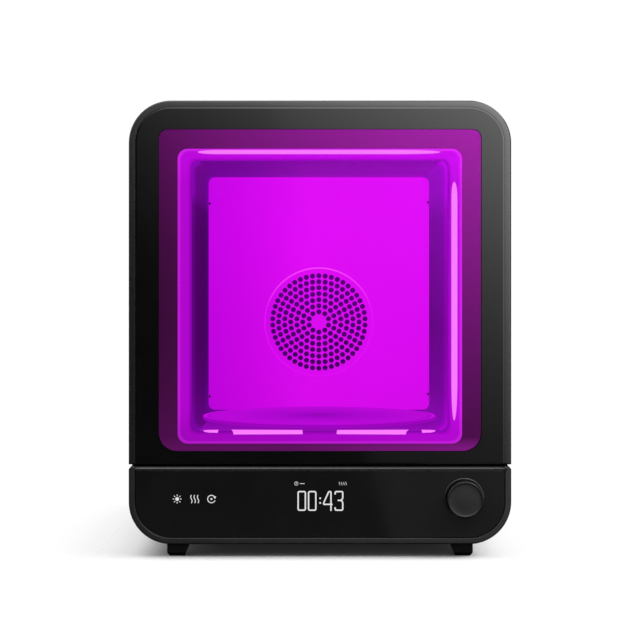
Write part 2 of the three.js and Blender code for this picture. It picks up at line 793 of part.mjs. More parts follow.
function airGrille() {
  const wallY = CHAMBER_BACK_Y;
  const disc = join(
    turnY(tube(GRILLE_RADIUS - 4, GRILLE_RADIUS, [wallY - 1.9, wallY - GAP]), 48),
    turnY(rod(GRILLE_RADIUS - 3.2, [wallY - 0.8, wallY + 0.4]), 48),
  );
  const holes = [];
  for (let ring = 0; ring < GRILLE_RINGS; ring++) {
    const radius = 11 + 9 * ring;
    const count = 8 + 6 * ring;
    for (let i = 0; i < count; i++) {
      const angle = (2 * Math.PI * i) / count;
      const hole = turnY(rod(2.6, both(3)), 6);
      holes.push(hole.translate([radius * Math.cos(angle), wallY, radius * Math.sin(angle)]));
    }
  }
  return mesh("air_grille", cut(disc, ...holes), violetSheet);
}

function blades(count, reach, width, thick, pitch) {
  return Array.from({ length: count }, (_, i) => {
    const blade = new THREE.BoxGeometry(reach[1] - reach[0], width, thick);
    blade.rotateX(pitch).translate((reach[0] + reach[1]) / 2, 0, 0);
    return solid(blade.rotateY((2 * Math.PI * i) / count));
  });
}

function circulation() {
  const group = new THREE.Group();
  group.position.set(0, 0, GRILLE_Z);
  group.add(airGrille());

  const heater = alongY(circle(0, 0, HEATER.radius, 32), HEATER.y, [
    circle(0, 0, HEATER.bore, 24),
    ...ringSectors(HEATER.bands, 4, 3),
  ]);
  group.add(mesh("heater_element", heater, copper));

  const [ductFront, ductBack] = DUCT.y;
  const duct = turnY(
    [
      [DUCT.radius, ductFront],
      [DUCT.radius, ductBack],
      [DUCT.inlet, ductBack],
      [DUCT.inlet, ductBack - DUCT.wall],
      [DUCT.radius - DUCT.wall, ductBack - DUCT.wall],
      [DUCT.radius - DUCT.wall, ductFront],
      [DUCT.radius, ductFront],
    ],
    40,
  );
  group.add(mesh("circulation_duct", duct, aluminium));

  const impeller = join(
    turnY(rod(IMPELLER.hub, IMPELLER.hubY), 24),
    turnY(rod(IMPELLER.axle, IMPELLER.axleY), 12),
    ...blades(9, IMPELLER.reach, 10, 1.4, 0.35).map((blade) => blade.translate([0, IMPELLER.bladeY, 0])),
  );
  group.add(mesh("circulation_impeller", impeller, steel));

  const { radius, y, bore, boreEnd } = CIRCULATION_MOTOR;
  const motor = cut(turnY(rod(radius, y), 28), turnY(rod(bore, [y[0] - 0.3, boreEnd]), 16));
  group.add(mesh("circulation_motor", motor, matteBlack));
  return group;
}

function exhaust() {
  const group = new THREE.Group();
  group.position.set(EXHAUST.x, 0, EXHAUST.z);
  const half = EXHAUST.size / 2;
  const frame = join(
    alongY(outline(both(half), both(half), 4, 4, 3), EXHAUST.y, [circle(0, 0, EXHAUST.bore, 36)]),
    box(both(half - 1), EXHAUST.strutY, both(1.5)),
    box(both(1.5), EXHAUST.strutY, both(half - 1)),
    turnY(rod(12, EXHAUST.strutY), 24),
  );
  group.add(mesh("exhaust_fan_frame", frame, matteBlack));

  const rotor = join(
    turnY(rod(ROTOR.hub, ROTOR.hubY), 24),
    ...blades(7, ROTOR.reach, 11, 1.3, 0.7).map((blade) => blade.translate([0, ROTOR.bladeY, 0])),
  );
  group.add(mesh("exhaust_fan_rotor", rotor, matteBlack));

  const guard = alongY(
    circle(0, 0, EXHAUST.bore + 3.5, 36),
    [COVER_BACK_Y + GAP, REAR_Y],
    ringSectors(GUARD_BANDS, 4, 2.4),
  );
  group.add(mesh("exhaust_guard", guard, matteBlack));
  return group;
}

// ---- Power and electronics ----------------------------------------------------------------------

function power() {
  const group = new THREE.Group();

  const inlet = new THREE.Group();
  inlet.position.set(INLET.x, 0, INLET.z);
  const flangeY = [COVER_BACK_Y + GAP, COVER_BACK_Y + GAP + 2];
  const recessFloorY = flangeY[1] - 16;
  const pins = INLET_PINS.map(([x, z]) =>
    box([x - 1, x + 1], [recessFloorY - 1, recessFloorY + 10.8], [z - 2, z + 2]),
  );
  const body = join(
    box(both(INLET.width / 2), [120, flangeY[1]], both(INLET.height / 2)),
    alongY(outline(both(INLET.width / 2 + 2.4), both(INLET.height / 2 + 2.6), 3, 3, 4), flangeY),
  );
  const recess = box(both(12), [recessFloorY, flangeY[1] + 1], both(8.2));
  inlet.add(mesh("power_inlet", join(cut(body, recess), ...pins), matteBlack));
  group.add(inlet);

  const rockerSwitch = new THREE.Group();
  rockerSwitch.position.set(SWITCH.x, 0, SWITCH.z);
  const housing = cut(
    join(
      box(both(SWITCH.width / 2), [124, flangeY[0] + 1], both(SWITCH.height / 2)),
      alongY(
        outline(both(SWITCH.width / 2 + 1.4), both(SWITCH.height / 2 + 1.6), 1.5, 1.5, 3),
        [flangeY[0], flangeY[0] + 1.5],
      ),
    ),
    box(both(5.2), [135.5, flangeY[1] + 1], both(8.3)),
  );
  rockerSwitch.add(mesh("switch_housing", housing, matteBlack));
  const rockerBody = alongX(corners(...ROCKER.profile), both(ROCKER.half));
  const rocker = mesh("power_rocker", rockerBody, satinBlack);
  rocker.position.y = ROCKER.y;
  rocker.rotation.x = ROCKER_TILT;
  rockerSwitch.add(rocker);
  group.add(rockerSwitch);
  group.add(mesh("power_supply", blocks(POWER_SUPPLY_BLOCKS), aluminium));
  group.add(mesh("main_board", blocks(MAIN_BOARD_BLOCKS), boardGreen));
  return group;
}

// ---- Assembly -----------------------------------------------------------------------------------

const station = new THREE.Group();
station.name = "curing_station";
station.add(
  casing(),
  controlPod(),
  knob(),
  door(),
  doorHardware(),
  chamberLip(),
  chamberWalls(),
  lamps(),
  turntable(),
  circulation(),
  exhaust(),
  power(),
  foot("foot_front_left", -1, FOOT.y[0]),
  foot("foot_front_right", 1, FOOT.y[0]),
  foot("foot_rear_left", -1, FOOT.y[1]),
  foot("foot_rear_right", 1, FOOT.y[1]),
);

export default station;
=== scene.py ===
"""The visual model of a desktop resin curing station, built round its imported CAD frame. Metres, +Z up."""

import json
from math import atan, cos, hypot, pi, radians, sin, sqrt

import bmesh
import bpy
from mathutils import Matrix, Vector

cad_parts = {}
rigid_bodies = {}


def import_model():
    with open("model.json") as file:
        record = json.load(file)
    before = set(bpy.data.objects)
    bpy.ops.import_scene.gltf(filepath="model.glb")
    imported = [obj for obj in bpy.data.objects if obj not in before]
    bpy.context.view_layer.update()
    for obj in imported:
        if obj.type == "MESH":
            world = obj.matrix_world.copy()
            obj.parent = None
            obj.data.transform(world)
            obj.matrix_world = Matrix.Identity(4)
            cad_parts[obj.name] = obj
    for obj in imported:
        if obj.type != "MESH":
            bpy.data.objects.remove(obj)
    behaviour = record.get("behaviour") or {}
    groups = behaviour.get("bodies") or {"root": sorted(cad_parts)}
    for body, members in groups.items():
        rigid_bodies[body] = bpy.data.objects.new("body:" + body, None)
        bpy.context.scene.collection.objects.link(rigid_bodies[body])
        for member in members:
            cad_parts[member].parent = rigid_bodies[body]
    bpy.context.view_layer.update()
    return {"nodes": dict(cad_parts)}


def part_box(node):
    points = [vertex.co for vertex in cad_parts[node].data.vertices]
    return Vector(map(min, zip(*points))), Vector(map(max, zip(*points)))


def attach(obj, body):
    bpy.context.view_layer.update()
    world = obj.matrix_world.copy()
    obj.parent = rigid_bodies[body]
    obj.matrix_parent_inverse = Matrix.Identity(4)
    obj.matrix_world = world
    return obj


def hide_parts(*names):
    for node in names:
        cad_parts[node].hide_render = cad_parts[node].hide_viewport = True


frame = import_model()
scene = bpy.context.scene

MM = 0.001


def mm(*values):
    """Millimetres, in metres."""
    return tuple(value * MM for value in values)


# ---- Sizes taken from the frame


def middle(lo, hi):
    return (lo + hi) / 2


class Box:
    """The bounding box of a CAD node."""

    def __init__(self, corners):
        self.corners = self.lo, self.hi = corners
        self.middle = middle(*corners)
        self.radius = (self.hi.x - self.lo.x) / 2
        self.depths = self.lo.y, self.hi.y


FRAME = Box(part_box("door_frame"))
POD = Box(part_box("control_pod"))
SHELL = Box(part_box("housing_shell"))
COVER = Box(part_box("rear_cover"))
GLASS = Box(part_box("door_glass"))
FASCIA = Box(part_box("control_fascia"))
LIP = Box(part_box("chamber_lip"))
BACK = Box(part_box("chamber_back_wall"))
WALL = Box(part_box("chamber_wall_right"))
GRILLE = Box(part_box("air_grille"))
DISC = Box(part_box("turntable_disc"))
KNOB = Box(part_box("knob_cap"))
BEZEL = Box(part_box("knob_bezel"))
GUARD = Box(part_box("exhaust_guard"))
ROTOR = Box(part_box("exhaust_fan_rotor"))
INLET = Box(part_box("power_inlet"))
SWITCH = Box(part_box("switch_housing"))

SIDE, TOP = FRAME.hi.x, FRAME.hi.z
CORNER, RIM, EDGE = mm(30.5, 4.5, 1.1)
ARC = 24


# ---- Materials


class Tree:
    """Short calls that add nodes to a shader tree."""

    def __init__(self, tree):
        self.tree = tree

    def put(self, value, socket):
        """Feeds a socket from another one, or sets it."""
        if isinstance(value, bpy.types.NodeSocket):
            self.tree.links.new(value, socket)
        else:
            socket.default_value = (*value, 1.0) if socket.type == "RGBA" else value

    def new(self, kind, inputs=(), **settings):
        node = self.tree.nodes.new("ShaderNode" + kind)
        for key, value in settings.items():
            setattr(node, key, value)
        for key, value in dict(inputs).items():
            self.put(value, node.inputs[key])
        return node

    def math(self, operation, *values):
        return self.new("Math", enumerate(values), operation=operation).outputs[0]

    def plus(self, a, b):
        return self.math("ADD", a, b)

    def by(self, a, b):
        return self.math("MULTIPLY", a, b)

    def spread(self, source, low, high, start=0.3, end=0.7, **settings):
        """The source mapped from start..end to low..high."""
        inputs = {"Value": source, "From Min": start, "From Max": end, "To Min": low, "To Max": high}
        return self.new("MapRange", inputs, **settings).outputs["Result"]

    def mix(self, factor, a, b, blend="MIX"):
        inputs = {"Factor": factor, 6: a, 7: b}
        return self.new("Mix", inputs, data_type="RGBA", blend_type=blend).outputs[2]

    def times(self, a, b):
        return self.mix(1.0, a, b, "MULTIPLY")

    def ramp(self, source, places, blend="LINEAR"):
        """Colours at places from 0 to 1."""
        node = self.new("ValToRGB", {"Fac": source})
        node.color_ramp.interpolation = blend
        elements = node.color_ramp.elements
        while len(elements) < len(places):
            elements.new(0.5)
        for element, (place, colour) in zip(elements, places):
            element.position, element.color = place, (*colour, 1.0)
        return node.outputs["Color"]


class Nodes(Tree):
    """A Principled material and the nodes that feed it."""

    def __init__(self, name, **sockets):
        self.material = bpy.data.materials.new(name)
        self.material.use_nodes = True
        super().__init__(self.material.node_tree)
        self.shader = self.tree.nodes["Principled BSDF"]
        self.coordinates = self.new("TexCoord").outputs["Object"]
        for socket, value in sockets.items():
            self.link(value, socket.replace("_", " "))

    def link(self, value, socket):
        self.put(value, self.shader.inputs[socket])

    def axes(self):
        return self.new("SeparateXYZ", {"Vector": self.coordinates}).outputs

    def noise(self, scale, detail=4.0, roughness=0.55, stretch=(1, 1, 1)):
        """Noise over the object, from 0 to 1. The scale is in features per metre."""
        mapping = self.new("Mapping", {"Vector": self.coordinates, "Scale": stretch})
        inputs = {"Vector": mapping.outputs[0], "Scale": scale, "Detail": detail, "Roughness": roughness}
        return self.new("TexNoise", inputs).outputs["Fac"]

    def clouds(self, scale, a, b, detail=4.0):
        """Two colours in soft patches."""
        return self.mix(self.spread(self.noise(scale, detail), 0.0, 1.0), a, b)

    def stops(self, axis, places, blend="LINEAR"):
        """Colours at places along one axis of the object, in millimetres."""
        first, last = places[0][0], places[-1][0]
        along = self.spread(self.axes()[axis], 0.0, 1.0, first * MM, last * MM)
        return self.ramp(along, [((at - first) / (last - first), colour) for at, colour in places], blend)

    def bump(self, height, strength, depth):
        inputs = {"Height": height, "Strength": strength, "Distance": depth}
        self.link(self.new("Bump", inputs).outputs["Normal"], "Normal")


def shaded(value, factor):
    return tuple(channel * factor for channel in value)


def grey(value):
    return (value, value, value)


def srgb(*channels):
    """Linear values of an 8-bit display colour."""
    return tuple(c / 255 / 12.92 if c <= 10 else ((c / 255 + 0.055) / 1.055) ** 2.4 for c in channels)


def moulded(name, colour, roughness, grain, depth=0.00004, vary=0.25, specular=0.5):
    """Textured plastic: fine grain, patches of shine and a slight drift of colour."""
    n = Nodes(name, Specular_IOR_Level=specular)
    n.link(n.clouds(22, shaded(colour, 1 - vary), shaded(colour, 1 + vary)), "Base Color")
    patches = n.spread(n.noise(60, 5.0), roughness * 0.95, roughness * 1.05)
    speckle = n.spread(n.noise(grain * 0.7, 2.0), -0.03, 0.03)
    n.link(n.plus(patches, speckle), "Roughness")
    n.bump(n.noise(grain, 2.0, 0.6), 0.35, depth)
    return n.material


def polished(name, colour, roughness=0.045):
    """Glossy black plastic or glass with faint smears."""
    n = Nodes(name)
    smears = n.noise(14, 6.0, 0.6, (1.0, 1.0, 0.35))
    n.link(n.spread(smears, roughness * 0.8, roughness * 1.7), "Roughness")
    n.link(n.clouds(30, colour, shaded(colour, 1.35)), "Base Color")
    n.bump(n.noise(9, 2.0), 0.05, 0.00008)
    return n.material


def metal(name, tone, roughness, stretch=(1, 1, 1)):
    """Metal with fine lines along the stretched axis and a little wear."""
    n = Nodes(name, Metallic=1.0)
    lines = n.noise(900, 3.0, 0.6, stretch)
    n.link(n.spread(lines, roughness * 0.75, roughness * 1.3), "Roughness")
    n.link(n.clouds(70, shaded(tone, 0.82), shaded(tone, 1.08)), "Base Color")
    n.bump(lines, 0.25, 0.00001)
    return n.material


def window_glass():
    """The clear part of the door glass: a dark violet tint."""
    n = Nodes("window_tint", Base_Color=(0.004, 0.002, 0.005), Alpha=TINT, Specular_IOR_Level=0.10)
    n.link(n.spread(n.noise(14, 6.0, 0.6, (1.0, 1.0, 0.35)), 0.03, 0.07), "Roughness")
    n.material.surface_render_method = "BLENDED"
    return n.material


def glowing(name, colour, strength, base):
    """A lit surface, such as a display segment, with a faint mottle."""
    n = Nodes(name, Base_Color=base, Roughness=0.3, Emission_Strength=strength)
    n.link(n.clouds(500, shaded(colour, 0.95), colour, 2.0), "Emission Color")
    return n.material


def lit_sheet(name, glow, scale, dim):
    """A dark sheet that shows only its glow, which paints on the chamber lamps' light and shade, dimmed in
    soft patches. The glow is a call on its nodes.
    """
    n = Nodes(name, Base_Color=(0.010, 0.001, 0.013), Specular_IOR_Level=0.0, Emission_Strength=MAKE_UP)
    n.link(n.times(glow(n), n.clouds(scale, grey(dim), grey(1.0), 3.0)), "Emission Color")
    return n


def glow_sheet(name, axis, places, *scales, roughness=0.30):
    """Polished sheet with the chamber's light and shade painted on as a glow. Its glow runs along one axis
    and is scaled along others.
    """

    def glow(n):
        colour = n.stops(axis, [(at, srgb(*channels)) for at, *channels in places])
        for scale_axis, shares in scales:
            colour = n.times(colour, n.stops(scale_axis, [(at, grey(v)) for at, v in shares]))
        return colour

    n = lit_sheet(name, glow, 7, 0.955)
    n.link(n.spread(n.noise(420, 3.0, 0.6, (1, 1, 0.06)), roughness * 0.8, roughness * 1.25), "Roughness")
    n.bump(n.noise(30, 3.0), 0.03, 0.00005)
    return n.material


def disc_glow():
    """Clear acrylic with the chamber's light painted on as a glow, brighter outwards: a darker band near the
    rim, then a painted highlight on it.
    """
    places = [
        (0.0, 152, 5, 192), (0.35, 174, 7, 210), (0.92, 190, 9, 221), (0.94, 176, 6, 208),
        (0.965, 180, 6, 211), (0.98, 206, 12, 236), (0.993, 210, 12, 238), (1.0, 158, 4, 192),
    ]

    def glow(n):
        away = n.new("VectorMath", {0: n.coordinates, 1: -DISC.middle}, operation="ADD").outputs[0]
        flat = n.new("VectorMath", {0: away, 1: (1, 1, 0)}, operation="MULTIPLY").outputs[0]
        radius = n.new("VectorMath", {0: flat}, operation="LENGTH").outputs["Value"]
        share = n.spread(radius, 0.0, 1.0, 0.0, DISC.radius)
        return n.ramp(share, [(place, srgb(*channels)) for place, *channels in places])

    n = lit_sheet("turntable_clear", glow, 16, 0.93)
    n.link(n.spread(n.noise(300, 3.0, 0.6, (1, 1, 0.1)), 0.09, 0.17), "Roughness")
    return n.material


def front_glow():
    """The front panel, with the dim light that the door glass throws on it painted on as a glow, and only
    behind the window.
    """
    n = Nodes("front_panel_glow", Base_Color=(0.003, 0.002, 0.0035), Specular_IOR_Level=0.0)
    n.link(n.spread(n.noise(60, 5.0), 0.40, 0.55), "Roughness")
    x, _, z = n.axes()
    plus, by = n.plus, n.by

    # The painted glow's brightness is a curved surface over x and z in metres.
    in_x = by(x, plus(plus(by(x, -0.928), by(z, 5.2)), -0.4377))
    in_z = by(z, plus(by(z, 3.388), -0.5794))
    low = n.spread(z, 1.0, 0.0, 76.0 * MM, 84.0 * MM)
    spill = by(low, n.math("MAXIMUM", plus(by(x, 0.9), 0.04), 0.024))
    red = plus(plus(plus(in_x, in_z), 0.1053), spill)
    green, blue = plus(by(red, 0.035), 0.002), plus(by(red, 1.07), -0.006)
    colour = n.new("CombineColor", {"Red": red, "Green": green, "Blue": blue})
    n.link(colour.outputs[0], "Emission Color")

    aside = n.spread(n.math("ABSOLUTE", x), 1.0, 0.0, 119.5 * MM, 123.5 * MM)
    below = n.spread(z, 0.0, 1.0, 69.5 * MM, 72.0 * MM)
    above = n.spread(z, 1.0, 0.0, 310.5 * MM, 314.5 * MM)
    n.link(by(by(aside, below), by(above, MAKE_UP)), "Emission Strength")
    return n.material


# Each face of the window keeps back this share of the light. The glows make up for that.
TINT = 0.12
MAKE_UP = 1 / (1 - TINT) ** 2

shell_black = moulded("shell_black", (0.021, 0.021, 0.023), 0.44, 2600, vary=0.09)
rim_grey = moulded("rim_grey", (0.0085, 0.0085, 0.009), 0.32, 3200, 0.00002, 0.12)
door_rim_grey = moulded("door_rim_grey", (0.021, 0.021, 0.022), 0.13, 3200, 0.000008, 0.08, 0.75)
inner_black = moulded("inner_frame_black", (0.004, 0.004, 0.0045), 0.6, 1800, specular=0.15)
matte_black = moulded("matte_black", (0.014, 0.014, 0.015), 0.62, 1800)
knob_black = moulded("knob_black", (0.011, 0.011, 0.0115), 0.36, 3000, 0.00002, 0.12, 0.35)
# Painted shade: the knob's side is far darker than its face, for the shade in the recess round the cap.
knob_side_shade = moulded("knob_side_shade", (0.0012, 0.0012, 0.0013), 0.55, 2200, specular=0.12)
rubber = moulded("rubber", (0.0008, 0.0008, 0.00085), 0.72, 1500, 0.00006, specular=0.15)
white_plastic = moulded("white_plastic", (0.70, 0.70, 0.67), 0.45, 1400)
circuit_board = moulded("circuit_board", (0.015, 0.10, 0.045), 0.35, 700)
gloss_black = polished("gloss_black", (0.0112, 0.0112, 0.0116))
door_black = polished("door_black", (0.0060, 0.0060, 0.0063))
steel = metal("steel", (0.52, 0.52, 0.54), 0.34)
dark_steel = metal("dark_steel", (0.10, 0.10, 0.105), 0.38)
ring_steel = metal("ring_steel", (0.075, 0.075, 0.077), 0.36)
aluminium = metal("aluminium", (0.60, 0.61, 0.63), 0.38, (1, 1, 0.05))
bronze = metal("bronze", (0.50, 0.28, 0.12), 0.42)
tinted_window = window_glass()
display_white = glowing("display_white", (0.76, 0.76, 0.76), 1.0, (0.02, 0.02, 0.02))
# Painted highlight: the glow of the glint strips on the flare.
lamp_glow = glowing("lamp_glow", srgb(249, 122, 253), MAKE_UP, (0.1, 0.02, 0.12))

# Glows: each paints the chamber lamps' light and shade on a sheet, as painted light, lighter and darker by
# place. The place in millimetres along the axis, then the 8-bit colour there.
left_glow = glow_sheet(
    "chamber_left", "Y", [(-86, 96, 3, 128), (-55, 77, 2, 99), (50, 71, 3, 96), (104, 84, 2, 116)],
    ("Z", [(88, 1.8), (112, 1.25), (150, 0.95), (235, 1.0), (254, 1.2), (264, 2.0), (287, 2.2)]),
    ("X", [(-95.3, 0.0), (-94.7, 1.0)]),
)
right_glow = glow_sheet(
    "chamber_right", "Y", [(-88, 153, 3, 188), (-69, 135, 4, 169), (-48, 121, 5, 158), (104, 114, 8, 148)],
    ("Z", [(88, 1.35), (112, 0.95), (160, 0.76), (215, 1.0), (250, 1.2), (264, 1.6), (287, 1.75)]),
    ("X", [(94.7, 1.0), (95.3, 0.0)]),
)
top_glow = glow_sheet(
    "chamber_top", "X", [(-94, 112, 4, 150), (-60, 120, 6, 157), (-10, 143, 12, 177), (94, 152, 7, 190)],
    ("Y", [(-88, 0.9), (60, 1.0), (104, 1.15)]),
    ("Z", [(286.9, 1.0), (287.5, 0.0)]),
)
floor_glow = glow_sheet(
    "chamber_bottom", "Y", [(-101, 158, 8, 192), (-88, 148, 8, 183), (20, 118, 4, 156), (104, 104, 3, 142)],
    ("Z", [(86.6, 0.0), (87.2, 1.0)]),
)
back_glow = glow_sheet(
    "chamber_back", "X", [(-94, 200, 5, 232), (-70, 208, 5, 236), (-8, 228, 12, 250), (94, 226, 10, 250)],
    ("Z", [(87, 0.88), (130, 0.93), (230, 1.0), (287, 1.0)]),
    ("Y", [(104.8, 1.0), (105.8, 0.0)]),
)
# Painted highlight: the grille's raised ring glows brightest at its top.
grille_ring_highlight = glow_sheet(
    "grille_ring", "Z", [(118, 228, 12, 250), (175, 230, 20, 252), (207, 255, 66, 255)]
)
# Painted highlight along the flare's front edge, and painted shade: darker inwards, to the left and low down.
lip_painted_light = glow_sheet(
    "mouth_flare", "Y", [
        (-111.5, 206, 34, 228), (-111.2, 182, 8, 212), (-108.4, 182, 6, 214), (-106.2, 158, 4, 192),
        (-101.5, 114, 5, 154),
    ],
    ("X", [(-104, 0.97), (0, 1.12), (104, 1.22)]),
    ("Z", [(79, 0.78), (88, 0.80), (104, 0.95), (270, 0.98), (284, 1.12), (295, 1.12)]),
    roughness=0.2,
)
board_glow = glow_sheet("lamp_board", "Z", [(88, 104, 5, 142), (290, 118, 6, 158)])
filter_glow = glow_sheet("grille_filter", "Z", [(118, 62, 1, 90), (207, 84, 3, 122)], roughness=0.7)
disc_material = disc_glow()
panel_material = front_glow()


# ---- Mesh helpers


def placed(name, data):
    obj = bpy.data.objects.new(name, data)
    scene.collection.objects.link(obj)
    return obj


def piece(name, mesh, material, slot, *nodes, body="chassis", smooth=30.0):
    """A piece that rides on its body and may stand for CAD nodes."""
    obj = placed(name, mesh)
    if not mesh.materials:
        mesh.materials.append(material)
    if smooth:
        mesh.shade_smooth()
        mesh.set_sharp_from_angle(angle=radians(smooth))
        # Big faces stay flat up to their rounded edges.
        normals = obj.modifiers.new("normals", "WEIGHTED_NORMAL")
        normals.keep_sharp, normals.weight = True, 80
    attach(obj, body)
    if nodes:
        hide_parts(*nodes)
    return obj


def thicken(obj, thickness):
    modifier = obj.modifiers.new("thick", "SOLIDIFY")
    modifier.thickness, modifier.offset = thickness, 0.0


def painted(mesh, first, second, has_second):
    """The mesh in two materials. The second goes to the faces that pass the test."""
    for material in (first, second):
        mesh.materials.append(material)
    for face in mesh.polygons:
        face.material_index = int(has_second(face))
    return mesh


def finished(made):
    mesh = bpy.data.meshes.new("mesh")
    made.to_mesh(mesh)
    made.free()
    return mesh


def mesh_from(vertices, faces):
    """A mesh with its doubles merged and its faces turned outwards."""
    mesh = bpy.data.meshes.new("mesh")
    mesh.from_pydata([tuple(v) for v in vertices], [], faces)
    made = bmesh.new()
    made.from_mesh(mesh)
    bmesh.ops.remove_doubles(made, verts=made.verts, dist=1e-7)
    bmesh.ops.recalc_face_normals(made, faces=made.faces)
    return finished(made)


def arc(cx, cz, radius, start, end, steps):
    """Points along part of a circle, both ends included."""
    angles = (start + (end - start) * i / steps for i in range(steps + 1))
    return [(cx + radius * cos(a), cz + radius * sin(a)) for a in angles]


def circle(cx, cz, radius, steps):
    return arc(cx, cz, radius, 0, 2 * pi, steps)[:-1]


def corner_arcs(x0, x1, z0, z1, bottom, top, steps):
    """Each corner of a rounded rectangle: its place, the signs that lead inwards, and its arc."""
    spots = ((x0, z0, 1, 1, bottom), (x1, z0, -1, 1, bottom), (x1, z1, -1, -1, top), (x0, z1, 1, -1, top))
    for i, (x, z, sx, sz, radius) in enumerate(spots):
        radius = max(radius, 0.02 * MM)
        start = pi + i * pi / 2
        yield x, z, sx, sz, arc(x + sx * radius, z + sz * radius, radius, start, start + pi / 2, steps)


def rounded(x0, x1, z0, z1, bottom, top, steps=ARC):
    """A rounded rectangle as (x, z) points. A corner never has less than a hair of radius."""
    return [point for *_, bend in corner_arcs(x0, x1, z0, z1, bottom, top, steps) for point in bend]


def grown(rect, by):
    x0, x1, z0, z1, bottom, top = rect
    return (x0 - by, x1 + by, z0 - by, z1 + by, bottom + by, top + by)


def quads(rows, count, close_rows=False, close_points=True):
    """Faces over rows of points. The rows, and the points in a row, may close to a ring."""
    for i in range(rows if close_rows else rows - 1):
        a, b = i * count, (i + 1) % rows * count
        for k in range(count if close_points else count - 1):
            n = (k + 1) % count
            yield a + k, a + n, b + n, b + k


def loft(stations, closed=False, steps=ARC):
    """Skins stations of (rounded rectangle, y). It is closed to a ring, or gets two caps."""
    loops = [[(x, y, z) for x, z in rounded(*rect, steps=steps)] for rect, y in stations]
    count, total = len(loops[0]), len(loops) * len(loops[0])
    faces = list(quads(len(loops), count, closed))
    if not closed:
        faces += [tuple(range(count)), tuple(range(total - count, total))]
    return mesh_from([v for loop in loops for v in loop], faces)


def quarter(steps):
    """Angles from 0 to a right angle."""
    return [pi / 2 * k / steps for k in range(steps + 1)]


def front_edge(rect, y, radius, steps=5):
    """Stations that round the outer edge of a front face at y."""
    return [(grown(rect, radius * (sin(a) - 1)), y + radius * (1 - cos(a))) for a in quarter(steps)]


def back_edge(rect, y, radius, steps=5):
    """Stations that round the outer edge of a back face at y."""
    return [(r, 2 * y - d) for r, d in front_edge(rect, y, radius, steps)][::-1]


def mouth_edge(rect, y, radius, steps=4):
    """Stations that round the edge of an opening in a front face at y."""
    return [(grown(rect, radius * (1 - cos(a))), y + radius * (1 - sin(a))) for a in quarter(steps)]


def turned(profile, steps=64, axis="Y"):
    """A closed profile of (radius, height) points turned about an axis."""
    vertices = []
    for i in range(steps):
        a = 2 * pi * i / steps
        for radius, height in profile:
            across, up = radius * cos(a), radius * sin(a)
            vertices.append((across, height, up) if axis == "Y" else (across, up, height))
    count = len(profile)
    faces = quads(steps, count, True)
    return mesh_from(vertices, [f for f in faces if profile[f[0] % count][0] or profile[f[1] % count][0]])


def rod(radius, start, end, steps, axis="Y"):
    return turned([(0, start), (radius, start), (radius, end), (0, end)], steps, axis)


def bend(before, here, after, radius):
    """The points that round one corner of a path."""
    here = Vector(here)
    a, b = Vector(before) - here, Vector(after) - here
    reach = min(radius, a.length * 0.49, b.length * 0.49)
    if reach <= 0:
        return [tuple(here)]
    start, end = here + a.normalized() * reach, here + b.normalized() * reach
    shares = (k / 5 for k in range(6))
    return [tuple((1 - t) ** 2 * start + 2 * t * (1 - t) * here + t * t * end) for t in shares]


def fillet(points, radius):
    """A closed polygon with rounded corners. A third value is a point's own radius."""
    out = []
    for i, (x, y, *own) in enumerate(points):
        before, after = points[i - 1][:2], points[(i + 1) % len(points)][:2]
        out += bend(before, (x, y), after, own[0] if own else radius)
    return out


def moved(mesh, offset, turn=Matrix()):
    mesh.transform(Matrix.Translation(offset) @ turn)
    return mesh


def set_at(centre, mesh):
    """Moves a mesh made round the Y axis to its place."""
    return moved(mesh, (centre.x, 0, centre.z))


def merged(*meshes):
    made = bmesh.new()
    for mesh in meshes:
        made.from_mesh(mesh)
    return finished(made)


def block(lo, hi, bevel=0.0):
    made = bmesh.new()
    bmesh.ops.create_cube(made, size=1.0)
    for v in made.verts:
        v.co = v.co * (Vector(hi) - Vector(lo)) + middle(Vector(lo), Vector(hi))
    if bevel:
        bmesh.ops.bevel(made, geom=made.edges[:], offset=bevel, segments=3, profile=0.5, affect="EDGES")
    return finished(made)


def carved(mesh, cutters, solver="EXACT"):
    body, tool = placed("carve_body", mesh), placed("carve_tool", merged(*cutters))
    modifier = body.modifiers.new("carve", "BOOLEAN")
    modifier.object, modifier.operation, modifier.solver = tool, "DIFFERENCE", solver
    bpy.context.view_layer.update()
    evaluated = body.evaluated_get(bpy.context.evaluated_depsgraph_get())
    out = bpy.data.meshes.new_from_object(evaluated)
    for obj in (body, tool):
        bpy.data.objects.remove(obj)
    if not out.polygons:
        raise RuntimeError("nothing is left after carving")
    return out


def carved_in_turn(mesh, cutters):
    """Takes cutters out one at a time, as they overlap."""
    for cutter in cutters:
        mesh = carved(mesh, [cutter])
    return mesh


def prism(points, start, end, axis="Y"):
    """A polygon of (x, z) points run along Y, or of (y, z) points run along X."""
    vertices = [(p[0], at, p[1]) if axis == "Y" else (at, *p) for at in (start, end) for p in points]
    count = len(points)
    return mesh_from(vertices, [tuple(range(count)), tuple(range(count, 2 * count)), *quads(2, count)])


# ---- CAD nodes that keep their shape

# How the names of the nodes in each material start.
PLAIN = (
    (steel, """base_tray encoder_body knob_shaft door_magnet_ hinge_bracket_ hinge_pin_
        turntable_spindle turntable_motor"""),
    (dark_steel, "strike_plate_"),
    (aluminium, "heat_sink_ circulation_duct circulation_impeller power_supply"),
    (bronze, "turntable_bearing heater_element"),
    (matte_black, """display_module door_sensor circulation_motor exhaust_fan_frame power_inlet
        switch_housing"""),
    (circuit_board, "control_board main_board"),
    (white_plastic, "knob_plunger"),
    (inner_black, "door_inner_frame"),
    (panel_material, "front_panel"),
    (left_glow, "chamber_wall_left"),
    (right_glow, "chamber_wall_right"),
    (top_glow, "chamber_ceiling"),
    (floor_glow, "chamber_floor"),
    (back_glow, "chamber_back_wall"),
    (board_glow, "lamp_board_"),
)


